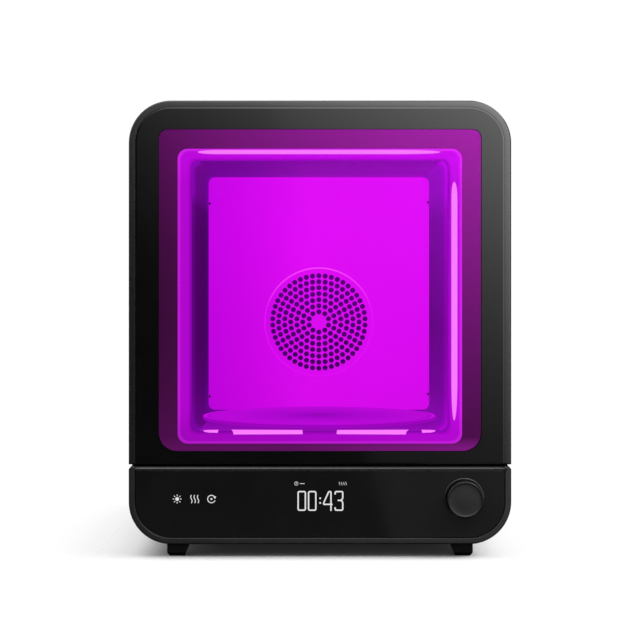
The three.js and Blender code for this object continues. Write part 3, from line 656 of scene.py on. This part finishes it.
def dress(start, material, width, segments, angle):
    """CAD nodes in a material, with edges rounded where faces meet at more than an angle."""
    for name, node in frame["nodes"].items():
        if name.startswith(start):
            node.data.materials.clear()
            node.data.materials.append(material)
            edge = node.modifiers.new("edge", "BEVEL")
            edge.width, edge.segments = width, segments
            edge.limit_method, edge.angle_limit = "ANGLE", radians(angle)


def dress_cad():
    for material, starts in PLAIN:
        dress(tuple(starts.split()), material, 0.25 * MM, 2, 35)
    dress("foot_", rubber, 0.8 * MM, 4, 20)
    dress("power_rocker", gloss_black, 0.5 * MM, 4, 10)


# ---- Casing

BODY_RECT = (-SIDE, SIDE, POD.lo.z, TOP, CORNER, CORNER)


def housing():
    inner = grown(BODY_RECT, -2.5 * MM)
    y0, y1 = SHELL.depths
    outside = [*front_edge(BODY_RECT, y0, 0.9 * MM), *back_edge(BODY_RECT, y1, 0.5 * MM)]
    mesh = loft([*outside, (inner, y1), (inner, y0)], closed=True)
    piece("housing", mesh, shell_black, "shell_black", "housing_shell")


def rear_cover():
    y0, y1 = COVER.depths
    plate = loft([*front_edge(BODY_RECT, y0, 0.3 * MM, 2), *back_edge(BODY_RECT, y1, 0.8 * MM)])
    front, back = y0 - MM, y1 + MM
    cutters = [set_at(GUARD.middle, rod(28.5 * MM, front, back, 64))]
    width = 3.2 * MM
    for i in range(9):
        x, radius = (40 + 8 * i) * MM, width * 0.49
        slot = rounded(x, x + width, 28 * MM, 62 * MM, radius, radius, steps=6)
        cutters.append(prism(slot, front, back))
    for (lo, hi), lip in ((INLET.corners, mm(2.0, 2.2)), (SWITCH.corners, mm(1.0, 1.2))):
        cutters.append(block((lo.x + lip[0], front, lo.z + lip[1]), (hi.x - lip[0], back, hi.z - lip[1])))
    piece("rear_panel", carved(plate, cutters), shell_black, "shell_black", "rear_cover")


def framed(outer, opening, pocket, y0, y1, ledge, back, mouth):
    """A ring round an opening, with a pocket in its front for a plate."""
    return loft([
        *front_edge(outer, y0, EDGE), *back_edge(outer, y1, *back),
        (opening, y1), (opening, ledge), (pocket, ledge), *mouth_edge(pocket, y0, mouth),
    ], closed=True)


def control_pod():
    """A rim round the fascia, and a chamfer above it between two cheeks."""
    chamfer, cheek = mm(2.0, 132.9)
    y0, y1 = POD.depths
    top = POD.hi.z
    outer = (-SIDE, SIDE, POD.lo.z, top, CORNER, 0.3 * MM)
    gap = 0.3 * MM
    pocket = (
        FASCIA.lo.x - gap, FASCIA.hi.x + gap, FASCIA.lo.z - gap, FASCIA.hi.z + 0.35 * MM,
        CORNER - RIM, 0.5 * MM,
    )
    hollow = mm(-130, 130, 16.5, 59, 23, 0.8)
    mesh = framed(outer, hollow, pocket, y0, y1, FASCIA.hi.y + gap, (0.4 * MM, 3), 0.35 * MM)
    cutters = []
    for side in (-1, 1):
        x = side * SIDE
        points = [
            (x + side * MM, top - 1.6 * chamfer), (x + side * MM, top + MM),
            (x - side * (chamfer + MM), top + MM),
            (x - side * 0.55 * chamfer, top - 0.45 * chamfer), (x, top - 1.15 * chamfer),
        ]
        cutters.append(prism(points, y0 - MM, y1 + MM))
    slope = [(y0 - MM, top - chamfer - MM), (y0 - MM, top + MM), (y0 + chamfer + MM, top + MM)]
    cutters.append(prism(slope, -cheek, cheek, "X"))
    mesh = carved_in_turn(mesh, cutters)
    piece("control_housing", mesh, rim_grey, "rim_grey", "control_pod")


def fascia():
    y0, y1 = FASCIA.depths
    rect = (FASCIA.lo.x, FASCIA.hi.x, FASCIA.lo.z, FASCIA.hi.z, CORNER - RIM - 0.3 * MM, 0.5 * MM)
    plate = loft([*front_edge(rect, y0, 0.3 * MM, 4), (rect, y1)])
    hole = rod(BEZEL.radius + 0.25 * MM, y0 - MM, y1 + MM, 96)
    plate = carved(plate, [set_at(BEZEL.middle, hole)])
    piece("fascia", plate, gloss_black, "gloss_black", "control_fascia")


# ---- Display and printed marks

MARK_Y = FASCIA.lo.y - 0.06 * MM


def ribbon(points, width, closed=False):
    """A flat stroke along (x, z) points in millimetres, as (vertices, faces)."""
    path = [Vector(p) for p in points]
    count = len(path)
    left, right = [], []
    for i, here in enumerate(path):
        before = path[i - 1] if (i or closed) else None
        after = path[(i + 1) % count] if (i < count - 1 or closed) else None
        into = (here - before).normalized() if before is not None else (after - here).normalized()
        out = (after - here).normalized() if after is not None else into
        tangent = (into + out).normalized()
        normal = Vector((-tangent.y, tangent.x))
        scale = width / 2 / max(0.5, normal.dot(Vector((-out.y, out.x))))
        left.append(here + normal * scale)
        right.append(here - normal * scale)
    return left + right, list(quads(2, count, close_points=closed))


def disc(cx, cz, radius, steps=20):
    return [Vector(p) for p in circle(cx, cz, radius, steps)], [tuple(range(steps))]


def wave(x, z, swing, height, steps):
    """One ripple, upwards from a point."""
    return [(x + swing * sin(t / steps * 2 * pi), z + height * t / steps) for t in range(steps + 1)]


def rounded_path(points, radius):
    """An open path with its inner corners rounded."""
    out = [points[0]]
    for corner in zip(points, points[1:], points[2:]):
        out += bend(*corner, radius)
    return [*out, points[-1]]


def marks(name, strokes):
    """Flat strokes just proud of the fascia, as one thin piece."""
    vertices, faces = [], []
    for stroke_vertices, stroke_faces in strokes:
        start = len(vertices)
        vertices += [(v[0] * MM, MARK_Y, v[1] * MM) for v in stroke_vertices]
        faces += [tuple(i + start for i in f) for f in stroke_faces]
    mesh = mesh_from(vertices, faces)
    thicken(piece(name, mesh, display_white, "display_white", smooth=0), 0.05 * MM)


def display():
    """The count-down in thin rounded strokes, with two small icons above it."""
    width = 1.0
    top, bottom, bar, waist = 46.85, 33.5, 37.7, 40.55
    left, right = 10.9, 16.35
    digits = [
        ribbon(rounded(x, x + 5.2, bottom, top, 1.0, 1.0, steps=5), width, closed=True) for x in (-15.7, -8.2)
    ]
    digits += [disc(0.12, z, 0.66) for z in (42.05, 38.7)]
    four = [(7.9, bottom - 0.5), (7.9, top), (6.3, top), (2.6, bar + 0.9), (2.6, bar), (9.1, bar)]
    digits.append(ribbon(rounded_path(four, 0.9), width))
    upper = [(left, top - 2.1), (left, top), (right, top), (right, waist + 1.3), (15.2, waist), (12.7, waist)]
    lower = [
        (12.7, waist), (15.2, waist), (right, waist - 1.3), (right, bottom), (left, bottom),
        (left, bottom + 2.1),
    ]
    digits += [ribbon(rounded_path(path, 1.1), width) for path in (upper, lower)]
    marks("display_digits", digits)
    marks("display_clock_icon", [
        ribbon(circle(-17.0, 52.6, 1.25, 24), 0.3, closed=True),
        ribbon([(-17.0, 53.3), (-17.0, 52.6), (-16.5, 52.6)], 0.26),
        ribbon([(-14.4, 52.6), (-11.0, 52.6)], 0.42),
    ])
    marks("display_heat_icon", [ribbon(wave(x, 51.5, 0.3, 2.3, 8), 0.3) for x in (14.0, 15.6, 17.2, 18.8)])


def function_icons():
    """Three plain pictograms: a lamp's rays, rising heat and a turning disc."""
    z, lamp_x, disc_x = 41.5, -102.6, -78.0
    sun = [disc(lamp_x, z, 1.35, 24)]
    for i in range(8):
        c, s = cos(pi * i / 4), sin(pi * i / 4)
        sun.append(ribbon([(lamp_x + 2.1 * c, z + 2.1 * s), (lamp_x + 3.2 * c, z + 3.2 * s)], 0.55))
    marks("icon_lamp", sun)
    marks("icon_heat", [ribbon(wave(x, z - 2.9, 0.5, 5.8, 10), 0.6) for x in (-92.4, -90.0, -87.6)])
    start, radius = 0.5, 2.7
    sweep = arc(disc_x, z, radius, start, 2 * pi - 0.35, 26)
    tip = Vector(sweep[0])
    head = [tip + Vector(step) for step in ((-1.0, 0.55), (1.05, 0.6), (0.1, -1.35))]
    marks("icon_turntable", [ribbon(sweep, 0.6), disc(disc_x, z, 0.7), (head, [(0, 1, 2)])])


# ---- Knob


def knob():
    centre = KNOB.middle
    radius = KNOB.radius
    tip, base = KNOB.depths
    dish = (
        (0, 0.25), (5.0, 0.28), (8.0, 0.36), (10.8, 0.38), (11.5, 0.27), (11.95, 0.10), (12.2, 0.02),
        (12.42, 0.10), (12.62, 0.28), (12.8, 0.55),
    )
    inside, stem = tip + 3.6 * MM, base - 0.5 * MM
    profile = [(r * MM, tip + depth * MM) for r, depth in dish] + [
        (radius, tip + 0.95 * MM), (radius, stem), (radius - 0.4 * MM, base), (11.5 * MM, base),
        (11.4 * MM, inside), (5 * MM, inside), (5 * MM, stem), (3.3 * MM, stem), (3.3 * MM, inside),
        (0, inside),
    ]

    # The side faces get the darker material: painted shade in the recess.
    def on_side(face):
        away = hypot(face.center.x - centre.x, face.center.z - centre.z)
        return away > 12.6 * MM and face.center.y > tip + 0.75 * MM

    mesh = painted(set_at(centre, turned(profile, 128)), knob_black, knob_side_shade, on_side)
    piece("knob", mesh, knob_black, "knob_black", "knob_cap", body="knob", smooth=40)

    outer, width = BEZEL.radius, 1.05 * MM
    y0, y1 = BEZEL.depths
    ring = fillet([(outer - width, y0), (outer, y0), (outer, y1), (outer - width, y1)], 0.3 * MM)
    ring = set_at(centre, turned(ring, 128))
    piece("knob_ring", ring, ring_steel, "steel", "knob_bezel", smooth=50)


# ---- Door

WINDOW = mm(-116.2, 116.2, 75.5, 307.4, 13.5, 6.5)


def door_frame():
    y0, y1 = FRAME.depths
    ledge, back = GLASS.hi.y + 0.3 * MM, y1 + MM
    outer = (-SIDE, SIDE, FRAME.lo.z, TOP, 0.5 * MM, CORNER)
    gap = 0.07 * MM
    pocket = (
        GLASS.lo.x - gap, GLASS.hi.x + gap, GLASS.lo.z - 0.3 * MM, GLASS.hi.z + gap,
        0.3 * MM, CORNER - RIM - 0.23 * MM,
    )
    opening = mm(-123.5, 123.5, 70.8, 314, 0.3, 16.5)
    mesh = framed(outer, opening, pocket, y0, y1, ledge, (0.6 * MM, 4), 0.06 * MM)
    low_edge = block(
        (pocket[0] + 0.5 * MM, y0 - MM, FRAME.lo.z - MM),
        (pocket[1] - 0.5 * MM, ledge - 0.3 * MM, pocket[2] + MM),
    )
    mesh = carved(mesh, [low_edge], solver="FAST")

    # The frame is round about its hinge, to clear the casing as it opens.
    hinge_x, hinge_y = mm(-131.5, -119.5)
    corner = block((-SIDE - MM, hinge_y, 0), (hinge_x, back, TOP + MM))
    core = moved(rod(6 * MM, -10 * MM, TOP + 20 * MM, 96, "Z"), (hinge_x, hinge_y, 0))
    cutters = [carved(corner, [core])]
    for name in ("hinge_bracket_lower", "hinge_bracket_upper"):
        z = middle(*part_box(name)).z
        cutters.append(block((-SIDE - MM, -126 * MM, z - 8 * MM), (-125 * MM, back, z + 8 * MM)))
    for name in ("door_magnet_lower", "door_magnet_upper"):
        lo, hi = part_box(name)
        cutters.append(set_at(middle(lo, hi), rod(4.3 * MM, lo.y - 0.3 * MM, back, 48)))
    mesh = carved_in_turn(mesh, [*cutters, finger_scoop(back)])
    piece("door_rim", mesh, door_rim_grey, "rim_grey", "door_frame", body="door")


def finger_scoop(back):
    """The hollow behind the door's free edge, with sloped ends."""
    front, bend_y, low, high, slope = mm(-121.5, -117.5, 165, 225, 3)
    outline = [
        (front, low + slope), (front, high - slope), (bend_y, high), (back, high), (back, low), (bend_y, low),
    ]
    return prism(fillet(outline, 3 * MM), 127.5 * MM, SIDE + MM, "X")


def door_glass():
    """A black printed border and, inside it, the tinted window."""
    y0, y1 = GLASS.depths
    low = FRAME.lo.z + 0.35 * MM
    rect = (GLASS.lo.x, GLASS.hi.x, low, GLASS.hi.z, 0.3 * MM, CORNER - RIM - 0.3 * MM)
    edge = ((-1.2, 0), (-1.05, 0.005), (-0.06, 0.06), (0, 0.14))
    stations = [(grown(rect, out * MM), y0 + depth * MM) for out, depth in edge]
    mesh = loft([(WINDOW, y0), *stations, (rect, y1), (WINDOW, y1)])
    mesh = painted(mesh, door_black, tinted_window, lambda face: len(face.vertices) > 4)
    piece("door_pane", mesh, door_black, "tinted_glass", "door_glass", body="door")


def door_seal():
    lo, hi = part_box("door_seal")
    rect = (lo.x, hi.x, lo.z, hi.z, 4 * MM, 15.5 * MM)
    bulb = ((0, 0.9), (-0.3, 0.3), (-1.0, 0), (-1.4, 0.1), (-1.9, 0.5))
    stations = [(grown(rect, out * MM), lo.y + depth * MM) for out, depth in bulb]
    mesh = loft([(rect, hi.y), *stations, (grown(rect, -2.1 * MM), hi.y)], closed=True)
    piece("seal", mesh, rubber, "rubber", "door_seal")


# ---- Chamber


def mouth_rect(share):
    """The chamber's section from the walls, at 0, to the front of the flare, at 1."""
    walls = mm(94.3, 87.6, 286.5, 5.5)
    front = (LIP.hi.x, LIP.lo.z, LIP.hi.z, 7.2 * MM)
    side, low, high, radius = (a + (b - a) * share for a, b in zip(walls, front))
    return (-side, side, low, high, radius, radius)


def chamber_lip():
    y0, y1 = LIP.depths
    reach, thick = y1 - y0, 2.5 * MM
    facing, hidden = [], []
    for a in quarter(14):
        facing.append((mouth_rect(1 - cos(a)), y1 - reach * sin(a)))
        hidden.append((mouth_rect(0.2 + 0.8 * (1 - cos(a))), y1 - (reach - thick) * sin(a)))
    flange = (grown(mouth_rect(1), 0.19 * MM), y0 + 1.3 * MM)
    mesh = loft([*facing, flange, *hidden[::-1]], closed=True, steps=12)
    piece("mouth_flare", mesh, lip_painted_light, "chamber_lip", "chamber_lip")


def chamber_corners():
    """Four slim coves where the chamber's sheets meet."""
    y0, y1 = LIP.hi.y - 0.2 * MM, BACK.lo.y - 0.05 * MM
    materials = (left_glow, right_glow, right_glow, left_glow)
    for i, (x, z, sx, sz, face) in enumerate(corner_arcs(*mouth_rect(0), 12)):
        cove = prism([*face, (x - sx * 0.2 * MM, z - sz * 0.2 * MM)], y0, y1)
        piece(f"chamber_corner_{i + 1}", cove, materials[i], "chamber_sheet", smooth=40)


def on_flare(share):
    """A place on the flare's face, as its share out of the wall plane and its depth.

    Below 0 it is on the sheet behind the flare.
    """
    reach, proud = LIP.hi.y - LIP.lo.y, 0.25 * MM
    if share < 0:
        return 0.0, LIP.hi.y - reach * share * pi / 2
    a = pi / 2 * share
    return 1 - cos(a), LIP.hi.y - reach * sin(a) - proud


def painted_glint(name, side, ends, shares, tapers=(0.0, 0.0)):
    """A slim glowing strip just in front of the flare, along its "top", "bottom" or "right" side: a painted
    glint that stands for the chamber lamps' reflection on the glossy flare.

    For each end, ends and shares hold the inner edge's and the outer edge's place along the side, and
    their share of the flare. A taper rounds an end off over that part of its length.
    """
    along, across, thick = 64, 6, 0.2 * MM
    vertices = []

    def between(pair, u):
        return tuple(a + (b - a) * u for a, b in zip(*pair))

    for i in range(along + 1):
        u = (1 - cos(pi * i / along)) / 2
        narrow = 1.0
        for taper, t in zip(tapers, (u, 1 - u)):
            if taper and t < taper:
                narrow = max(sqrt(1 - (1 - t / taper) ** 2), 0.02)
        inner, outer = between(shares, u)
        t_inner, t_outer = between(ends, u)
        for k in range(across + 1):
            w = 0.5 + narrow * (k / across - 0.5)
            out, y = on_flare(inner + (outer - inner) * w)
            t = (t_inner + (t_outer - t_inner) * w) * MM
            rect = mouth_rect(out)
            place = {
                "top": (t, y, rect[3] - thick), "bottom": (t, y, rect[2] + thick),
                "right": (rect[1] - thick, y, t),
            }
            vertices.append(place[side])
    mesh = mesh_from(vertices, list(quads(along + 1, across + 1, close_points=False)))
    thicken(piece(name, mesh, lamp_glow, "lamp_glow", smooth=60), thick)


def painted_glints():
    # Painted glints of the chamber lamps on the flare: along the top, down the right, and in four pieces
    # along the bottom.
    full, slim, near, far = (-0.35, 0.47), (-0.2, 0.45), (-0.2, 0.3), (-0.3, 0.33)
    top, right = (0.72, 0.95), (0.47, 0.79)
    for name, side, ends, *rest in (
        ("top", "top", ((-89.3, -89.3), (88.2, 88.2)), (top, top), (0.085, 0.16)),
        ("right", "right", ((96.0, 96.0), (270.8, 270.8)), (right, right), (0.17, 0.07)),
        ("low_1", "bottom", ((-86.0, -85.8), (-75.0, -75.0)), (near, far), (0.45, 0)),
        ("low_2", "bottom", ((-65.35, -63.3), (-13.0, -12.6)), (full, slim)),
        ("low_3", "bottom", ((13.0, 12.3), (65.8, 63.0)), (slim, full)),
        ("low_4", "bottom", ((75.4, 75.1), (85.4, 85.2)), (far, near), (0, 0.45)),
    ):
        painted_glint(f"painted_glint_{name}", side, ends, *rest)


def lamp_windows():
    """The clear covers over the lamps, between the flare and the chamber's sheets."""
    y0, y1 = LIP.hi.y + 0.05 * MM, WALL.lo.y - 0.05 * MM
    x0, x1, z0, z1, *_ = mouth_rect(0)
    thick, end = mm(0.7, 0.3)
    covers = {
        "left": ((x0 - thick, y0, z0 + end), (x0, y1, z1 - end), left_glow),
        "right": ((x1, y0, z0 + end), (x1 + thick, y1, z1 - end), right_glow),
        "top": ((x0 + end, y0, z1), (x1 - end, y1, z1 + thick), top_glow),
    }
    for name, (lo, hi, material) in covers.items():
        piece(f"lamp_window_{name}", block(lo, hi), material, "chamber_sheet")


def grille():
    """The perforated disc: seven rings of round holes inside a raised ring."""
    centre = GRILLE.middle
    outer = GRILLE.radius
    y0, y1 = GRILLE.depths
    plate = rod(outer - 0.6 * MM, y1 - 1.2 * MM, y1, 96)
    first, pitch, hole = mm(8.7, 5.15, 2.2)
    cutters = []
    for index in range(7):
        count, radius = 10 + 6 * index, first + pitch * index
        for i in range(count):
            a = pi / 2 + 2 * pi * i / count
            pin = rod(hole, y0, y1 + MM, 14)
            cutters.append(moved(pin, (radius * cos(a), 0, radius * sin(a))))
    plate = set_at(centre, carved(plate, cutters))
    piece("grille", plate, back_glow, "chamber_sheet", "air_grille")
    inner, lip = outer - 0.7 * MM, outer + 0.4 * MM
    ring = [(inner, y0 + 0.1 * MM), (outer + 0.1 * MM, y0), (lip, y0 + 0.4 * MM), (lip, y1), (inner, y1)]
    ring = set_at(centre, turned(fillet(ring, 0.25 * MM), 128))
    piece("grille_rim", ring, grille_ring_highlight, "chamber_sheet", smooth=50)
    felt = set_at(centre, rod(43 * MM, y1 + 1.5 * MM, y1 + 2.1 * MM, 96))
    piece("grille_filter", felt, filter_glow, "matte_black")


def wall_slot_shades():
    """Dark blocks on the back wall that paint the shade in the slots where the side sheets hook in."""
    y = BACK.lo.y
    half, deep = mm(0.8, 0.5)
    for i, (side, z) in enumerate(((-1, 264), (1, 265), (-1, 99), (1, 101))):
        x = side * 93.4 * MM
        lo, hi = (x - half, y - deep, (z - 0.9) * MM), (x + half, y - 0.05 * MM, (z + 0.9) * MM)
        piece(f"wall_slot_shade_{i + 1}", block(lo, hi, 0.2 * MM), matte_black, "matte_black")


def turntable():
    centre = DISC.middle
    radius, bore, groove = DISC.radius, 5.3 * MM, DISC.hi.z - 0.5 * MM
    z0, z1 = DISC.lo.z, DISC.hi.z
    profile = [
        (bore, z0), (radius, z0), (radius, z1), (radius - 2.4 * MM, z1), (radius - 3.0 * MM, groove),
        (radius - 4.2 * MM, groove), (radius - 4.8 * MM, z1), (bore, z1),
    ]
    mesh = moved(turned(fillet(profile, 0.4 * MM), 160, "Z"), (centre.x, centre.y, 0))
    piece("turntable", mesh, disc_material, "clear_disc", "turntable_disc", body="turntable")


# ---- Rear details


def exhaust():
    (y0, y1), outer = GUARD.depths, GUARD.radius
    rim = [(outer - 3.4 * MM, y0), (outer, y0), (outer - 0.6 * MM, y1), (outer - 3.2 * MM, y1)]
    rings = [turned(fillet(rim, 0.8 * MM), 96)]
    for radius in (8.5, 13.5, 18.5, 23.5):
        rings.append(turned(circle(radius * MM, y1 - 1.1 * MM, 0.95 * MM, 10), 72))
    hub = [(0, y0 + MM), (5 * MM, y0 + MM), (5.4 * MM, y1 - 0.6 * MM), (4.6 * MM, y1 - 0.1 * MM), (0, y1)]
    rings.append(turned(hub, 48))
    half = 0.9 * MM
    for i in range(4):
        spoke = block((4 * MM, y1 - 2.6 * MM, -half), (outer - 2 * MM, y1 - half, half), 0.4 * MM)
        rings.append(moved(spoke, (0, 0, 0), Matrix.Rotation(pi / 4 + i * pi / 2, 4, "Y")))
    guard = set_at(GUARD.middle, merged(*rings))
    piece("fan_guard", guard, matte_black, "matte_black", "exhaust_guard")

    y0, y1 = ROTOR.depths
    hub = fillet([(0, y0, 0), (12.5 * MM, y0), (12.5 * MM, y1), (0, y1, 0)], 1.2 * MM)
    parts = [turned(hub, 64)]
    for i in range(7):
        parts.append(fan_blade(12.2 * MM, 26.6 * MM, y0 + 0.6 * MM, y1 - 0.6 * MM, 2 * pi * i / 7))
    rotor = set_at(ROTOR.middle, merged(*parts))
    piece("fan_rotor", rotor, matte_black, "matte_black", "exhaust_fan_rotor", body="exhaust_fan")


def fan_blade(inner, outer, y0, y1, start):
    rows, columns, thick = 8, 10, 0.55 * MM
    vertices, faces = [], []
    for side in (1, -1):
        for i in range(rows + 1):
            radius = inner + (outer - inner) * i / rows
            sweep = 0.35 * (i / rows) ** 1.5
            half = 0.62 - 0.20 * i / rows
            for k in range(columns + 1):
                t = k / columns
                angle = start + sweep + (t - 0.5) * half
                shape = y0 + (y1 - y0) * (t + 0.10 * sin(pi * t))
                edge = thick * sin(pi * min(max(t, 0.04), 0.96)) ** 0.5
                y = min(max(shape + side * edge, y0 - 0.3 * MM), y1 + 0.3 * MM)
                vertices.append((radius * cos(angle), y, radius * sin(angle)))
    size = (rows + 1) * (columns + 1)
    for a, b, c, d in quads(rows + 1, columns + 1, close_points=False):
        faces += [(a, b, c, d), (size + a, size + d, size + c, size + b)]
    last = size - columns - 1
    rim = [*range(0, last, columns + 1), *range(last, size)]
    rim += [*range(last - 1, columns, -columns - 1), *range(columns, 0, -1)]
    for a, b in zip(rim, rim[1:] + rim[:1]):
        faces.append((a, b, size + b, size + a))
    return mesh_from(vertices, faces)


def screw(name, x, y, z, radius=2.9 * MM):
    """A button-head screw with a hexagonal socket."""
    height, bore = mm(1.7, 1.35)
    dome = [(0, y), *((radius * sin(a), y + height * cos(a)) for a in quarter(8)[::-1])]
    socket = rod(bore, y + 0.5 * MM, y + 3 * MM, 6)
    mesh = moved(carved(turned(dome, 40), [socket]), (x, 0, z))
    piece(name, mesh, dark_steel, "steel", smooth=35)


def screws():
    y = COVER.hi.y - 0.02 * MM
    inset, fan_pitch, top_x = mm(12, 25, 45)
    side = SIDE - inset
    places = [(x, z) for z in (55 * MM, 168 * MM, TOP - 46 * MM) for x in (-side, side)]
    places += [(x, z) for z in (TOP - inset, POD.lo.z + inset) for x in (-top_x, top_x)]
    for i, (x, z) in enumerate(places):
        screw(f"rear_screw_{i + 1}", x, y, z)
    fan = GUARD.middle
    for i, (sx, sz) in enumerate(((-1, -1), (1, -1), (-1, 1), (1, 1))):
        screw(f"fan_screw_{i + 1}", fan.x + sx * fan_pitch, y, fan.z + sz * fan_pitch, radius=2.4 * MM)


def inlet_pins():
    centre = INLET.middle
    y1 = INLET.hi.y
    half_x, half_z = mm(1.05, 2.05)
    for i, (dx, dz) in enumerate(((-7, -1.5), (0, 2.5), (7, -1.5))):
        x, z = centre.x + dx * MM, centre.z + dz * MM
        lo, hi = (x - half_x, y1 - 15.8 * MM, z - half_z), (x + half_x, y1 - 5.1 * MM, z + half_z)
        piece(f"inlet_pin_{i + 1}", block(lo, hi, 0.35 * MM), steel, "steel", smooth=40)


def switch_marks():
    """A bar and a ring printed on the rocker's two halves."""
    half, inner, outer = mm(0.05, 1.15, 1.75)
    bar = block((-0.35 * MM, -half, -1.7 * MM), (0.35 * MM, half, 1.7 * MM))
    ring = turned([(inner, -half), (outer, -half), (outer, half), (inner, half)], 40)
    centre = SWITCH.middle
    pivot = Matrix.Translation((centre.x, 140.5 * MM, centre.z)) @ Matrix.Rotation(radians(7), 4, "X")
    for name, mesh, side in (("switch_bar", bar, 1), ("switch_ring", ring, -1)):
        lean = Matrix.Rotation(-side * atan(1.2 / 7.5), 4, "X")
        mesh.transform(pivot @ Matrix.Translation((0, 2.44 * MM, side * 3.75 * MM)) @ lean)
        piece(name, mesh, white_plastic, "white_plastic", body="power_rocker")


# ---- Stage


def floor():
    """A pale floor that fades into the white surround. Glossy parts don't mirror it."""
    # A faint glow of the floor's own lifts the deep shade under the body.
    n = Nodes(
        "pale_floor", Base_Color=(0.45, 0.45, 0.45), Roughness=0.55, Specular_IOR_Level=0.2,
        Emission_Color=grey(1), Emission_Strength=0.013,
    )
    n.link(n.spread(n.noise(3, 3.0), 0.5, 0.6), "Roughness")
    # Painted light: the fade follows the body's footprint, so the white surround lightens the floor's shadow
    # beyond it, sharply in front and softly to the left and behind.
    across = [
        (-420, 0), (-215, 0.10), (-180, 0.27), (-152, 0.48), (-130, 0.75), (-108, 1),
        (100, 1), (113, 0.55), (128, 0.33), (145, 0.19), (180, 0.1), (380, 0),
    ]
    along = [
        (-400, 0), (-200, 0.05), (-153, 0.13), (-144, 0.55), (-137, 1),
        (142, 1), (160, 0.6), (200, 0.3), (420, 0),
    ]
    fades = (
        n.stops(axis, [(at, grey(v)) for at, v in places], "CARDINAL")
        for axis, places in (("X", across), ("Y", along))
    )
    n.link(n.times(*fades), "Alpha")
    size = 1.2
    corners = [(-size, -size, 0), (size, -size, 0), (size, size, 0), (-size, size, 0)]
    mesh = mesh_from(corners, [(0, 1, 2, 3)])
    mesh.materials.append(n.material)
    obj = placed("floor", mesh)
    obj.visible_glossy = False
    obj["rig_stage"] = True


def camera():
    data = bpy.data.cameras.new("camera")
    data.sensor_width, data.lens = 36, 97.9
    data.shift_x, data.shift_y = 0.0109, -0.0656
    data.clip_start, data.clip_end = 0.05, 60
    obj = placed("camera", data)
    obj.location = (-0.005, -1.3855, 0.2003)
    obj.rotation_euler = (radians(90), 0, 0)
    scene.camera = obj


def area_light(name, place, target, size, power):
    data = bpy.data.lights.new(name, "AREA")
    data.shape = "RECTANGLE"
    data.size, data.size_y = size
    data.energy = power
    obj = placed(name, data)
    obj.location = place
    obj.rotation_mode = "QUATERNION"
    obj.rotation_quaternion = (Vector(target) - Vector(place)).to_track_quat("-Z", "Y")


def lights():
    area_light("key", (1.25, -0.45, 1.9), (0, 0, 0.05), (1.3, 1.3), 36)
    area_light("overhead", (-0.2, 0.3, 2.1), (0, 0.1, 0), (2.4, 1.8), 38)
    area_light("left_fill", (-1.9, -0.4, 1.0), (0, 0, 0.1), (1.0, 1.2), 12)
    area_light("back_fill", (0, 2.2, 0.9), (0, 0, 0.2), (2.4, 1.2), 16)
    world()


def world():
    """White to the camera. Glossy parts see a dark studio with one big soft light."""
    data = bpy.data.worlds.new("studio")
    data.use_nodes = True
    scene.world = data
    data.node_tree.nodes.clear()
    n = Tree(data.node_tree)
    calc, plus, by = n.math, n.plus, n.by

    def step(value, low, high, start, end):
        return n.spread(value, low, high, start, end, interpolation_type="SMOOTHSTEP")

    right, back, up = n.new("SeparateXYZ", {0: n.new("TexCoord").outputs["Generated"]}).outputs
    ahead = by(back, -1.0)
    reach = calc("MAXIMUM", ahead, 0.05)
    u, v = calc("DIVIDE", right, reach), calc("DIVIDE", up, reach)
    slope = calc("MULTIPLY_ADD", u, 8.554, calc("MULTIPLY_ADD", v, 12.0, 1.0))
    soft = by(calc("POWER", calc("MAXIMUM", slope, 0.0), 2.44), 0.1735)
    edge = calc("MULTIPLY_ADD", v, 0.268, plus(u, -0.00445))
    card = by(step(edge, 0.0, 1.0, -0.001, 0.001), calc("MULTIPLY_ADD", calc("MAXIMUM", v, 0.0), 1.032, 0.15))
    front = calc("MINIMUM", plus(soft, card), 5.0)
    around = plus(step(up, 0.0, 0.65, 0.25, 0.8), step(up, 0.03, 0.42, -0.15, 0.25))
    facing = step(ahead, 0.0, 1.0, 0.86, 0.95)
    glossy = plus(by(facing, front), by(calc("SUBTRACT", 1.0, facing), around))
    path = n.new("LightPath").outputs
    seen_by = n.new("Mix", {"Factor": path["Is Glossy Ray"], 2: around, 3: glossy}, data_type="FLOAT")
    lit = n.new("Background", {"Color": grey(1), "Strength": seen_by.outputs[0]})
    white = n.new("Background", {"Color": grey(1), "Strength": 1.05})
    mix = n.new("MixShader", {0: path["Is Camera Ray"], 1: lit.outputs[0], 2: white.outputs[0]})
    n.new("OutputWorld", {0: mix.outputs[0]})
    scene.view_settings.view_transform = "Standard"


# ---- Build

for build in (
    camera, lights, floor, dress_cad, housing, rear_cover, control_pod, fascia, display, function_icons,
    knob, door_frame, door_glass, door_seal, chamber_lip, chamber_corners, painted_glints, lamp_windows,
    grille, wall_slot_shades, turntable, exhaust, screws, inlet_pins, switch_marks,
):
    build()

# What glows does not tint the floor and the casing.
for lit in scene.objects:
    if lit.type == "MESH" and not lit.get("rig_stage"):
        if any(m and m.node_tree.nodes["Principled BSDF"].inputs["Emission Color"].is_linked
               for m in lit.data.materials):
            lit.visible_diffuse = False
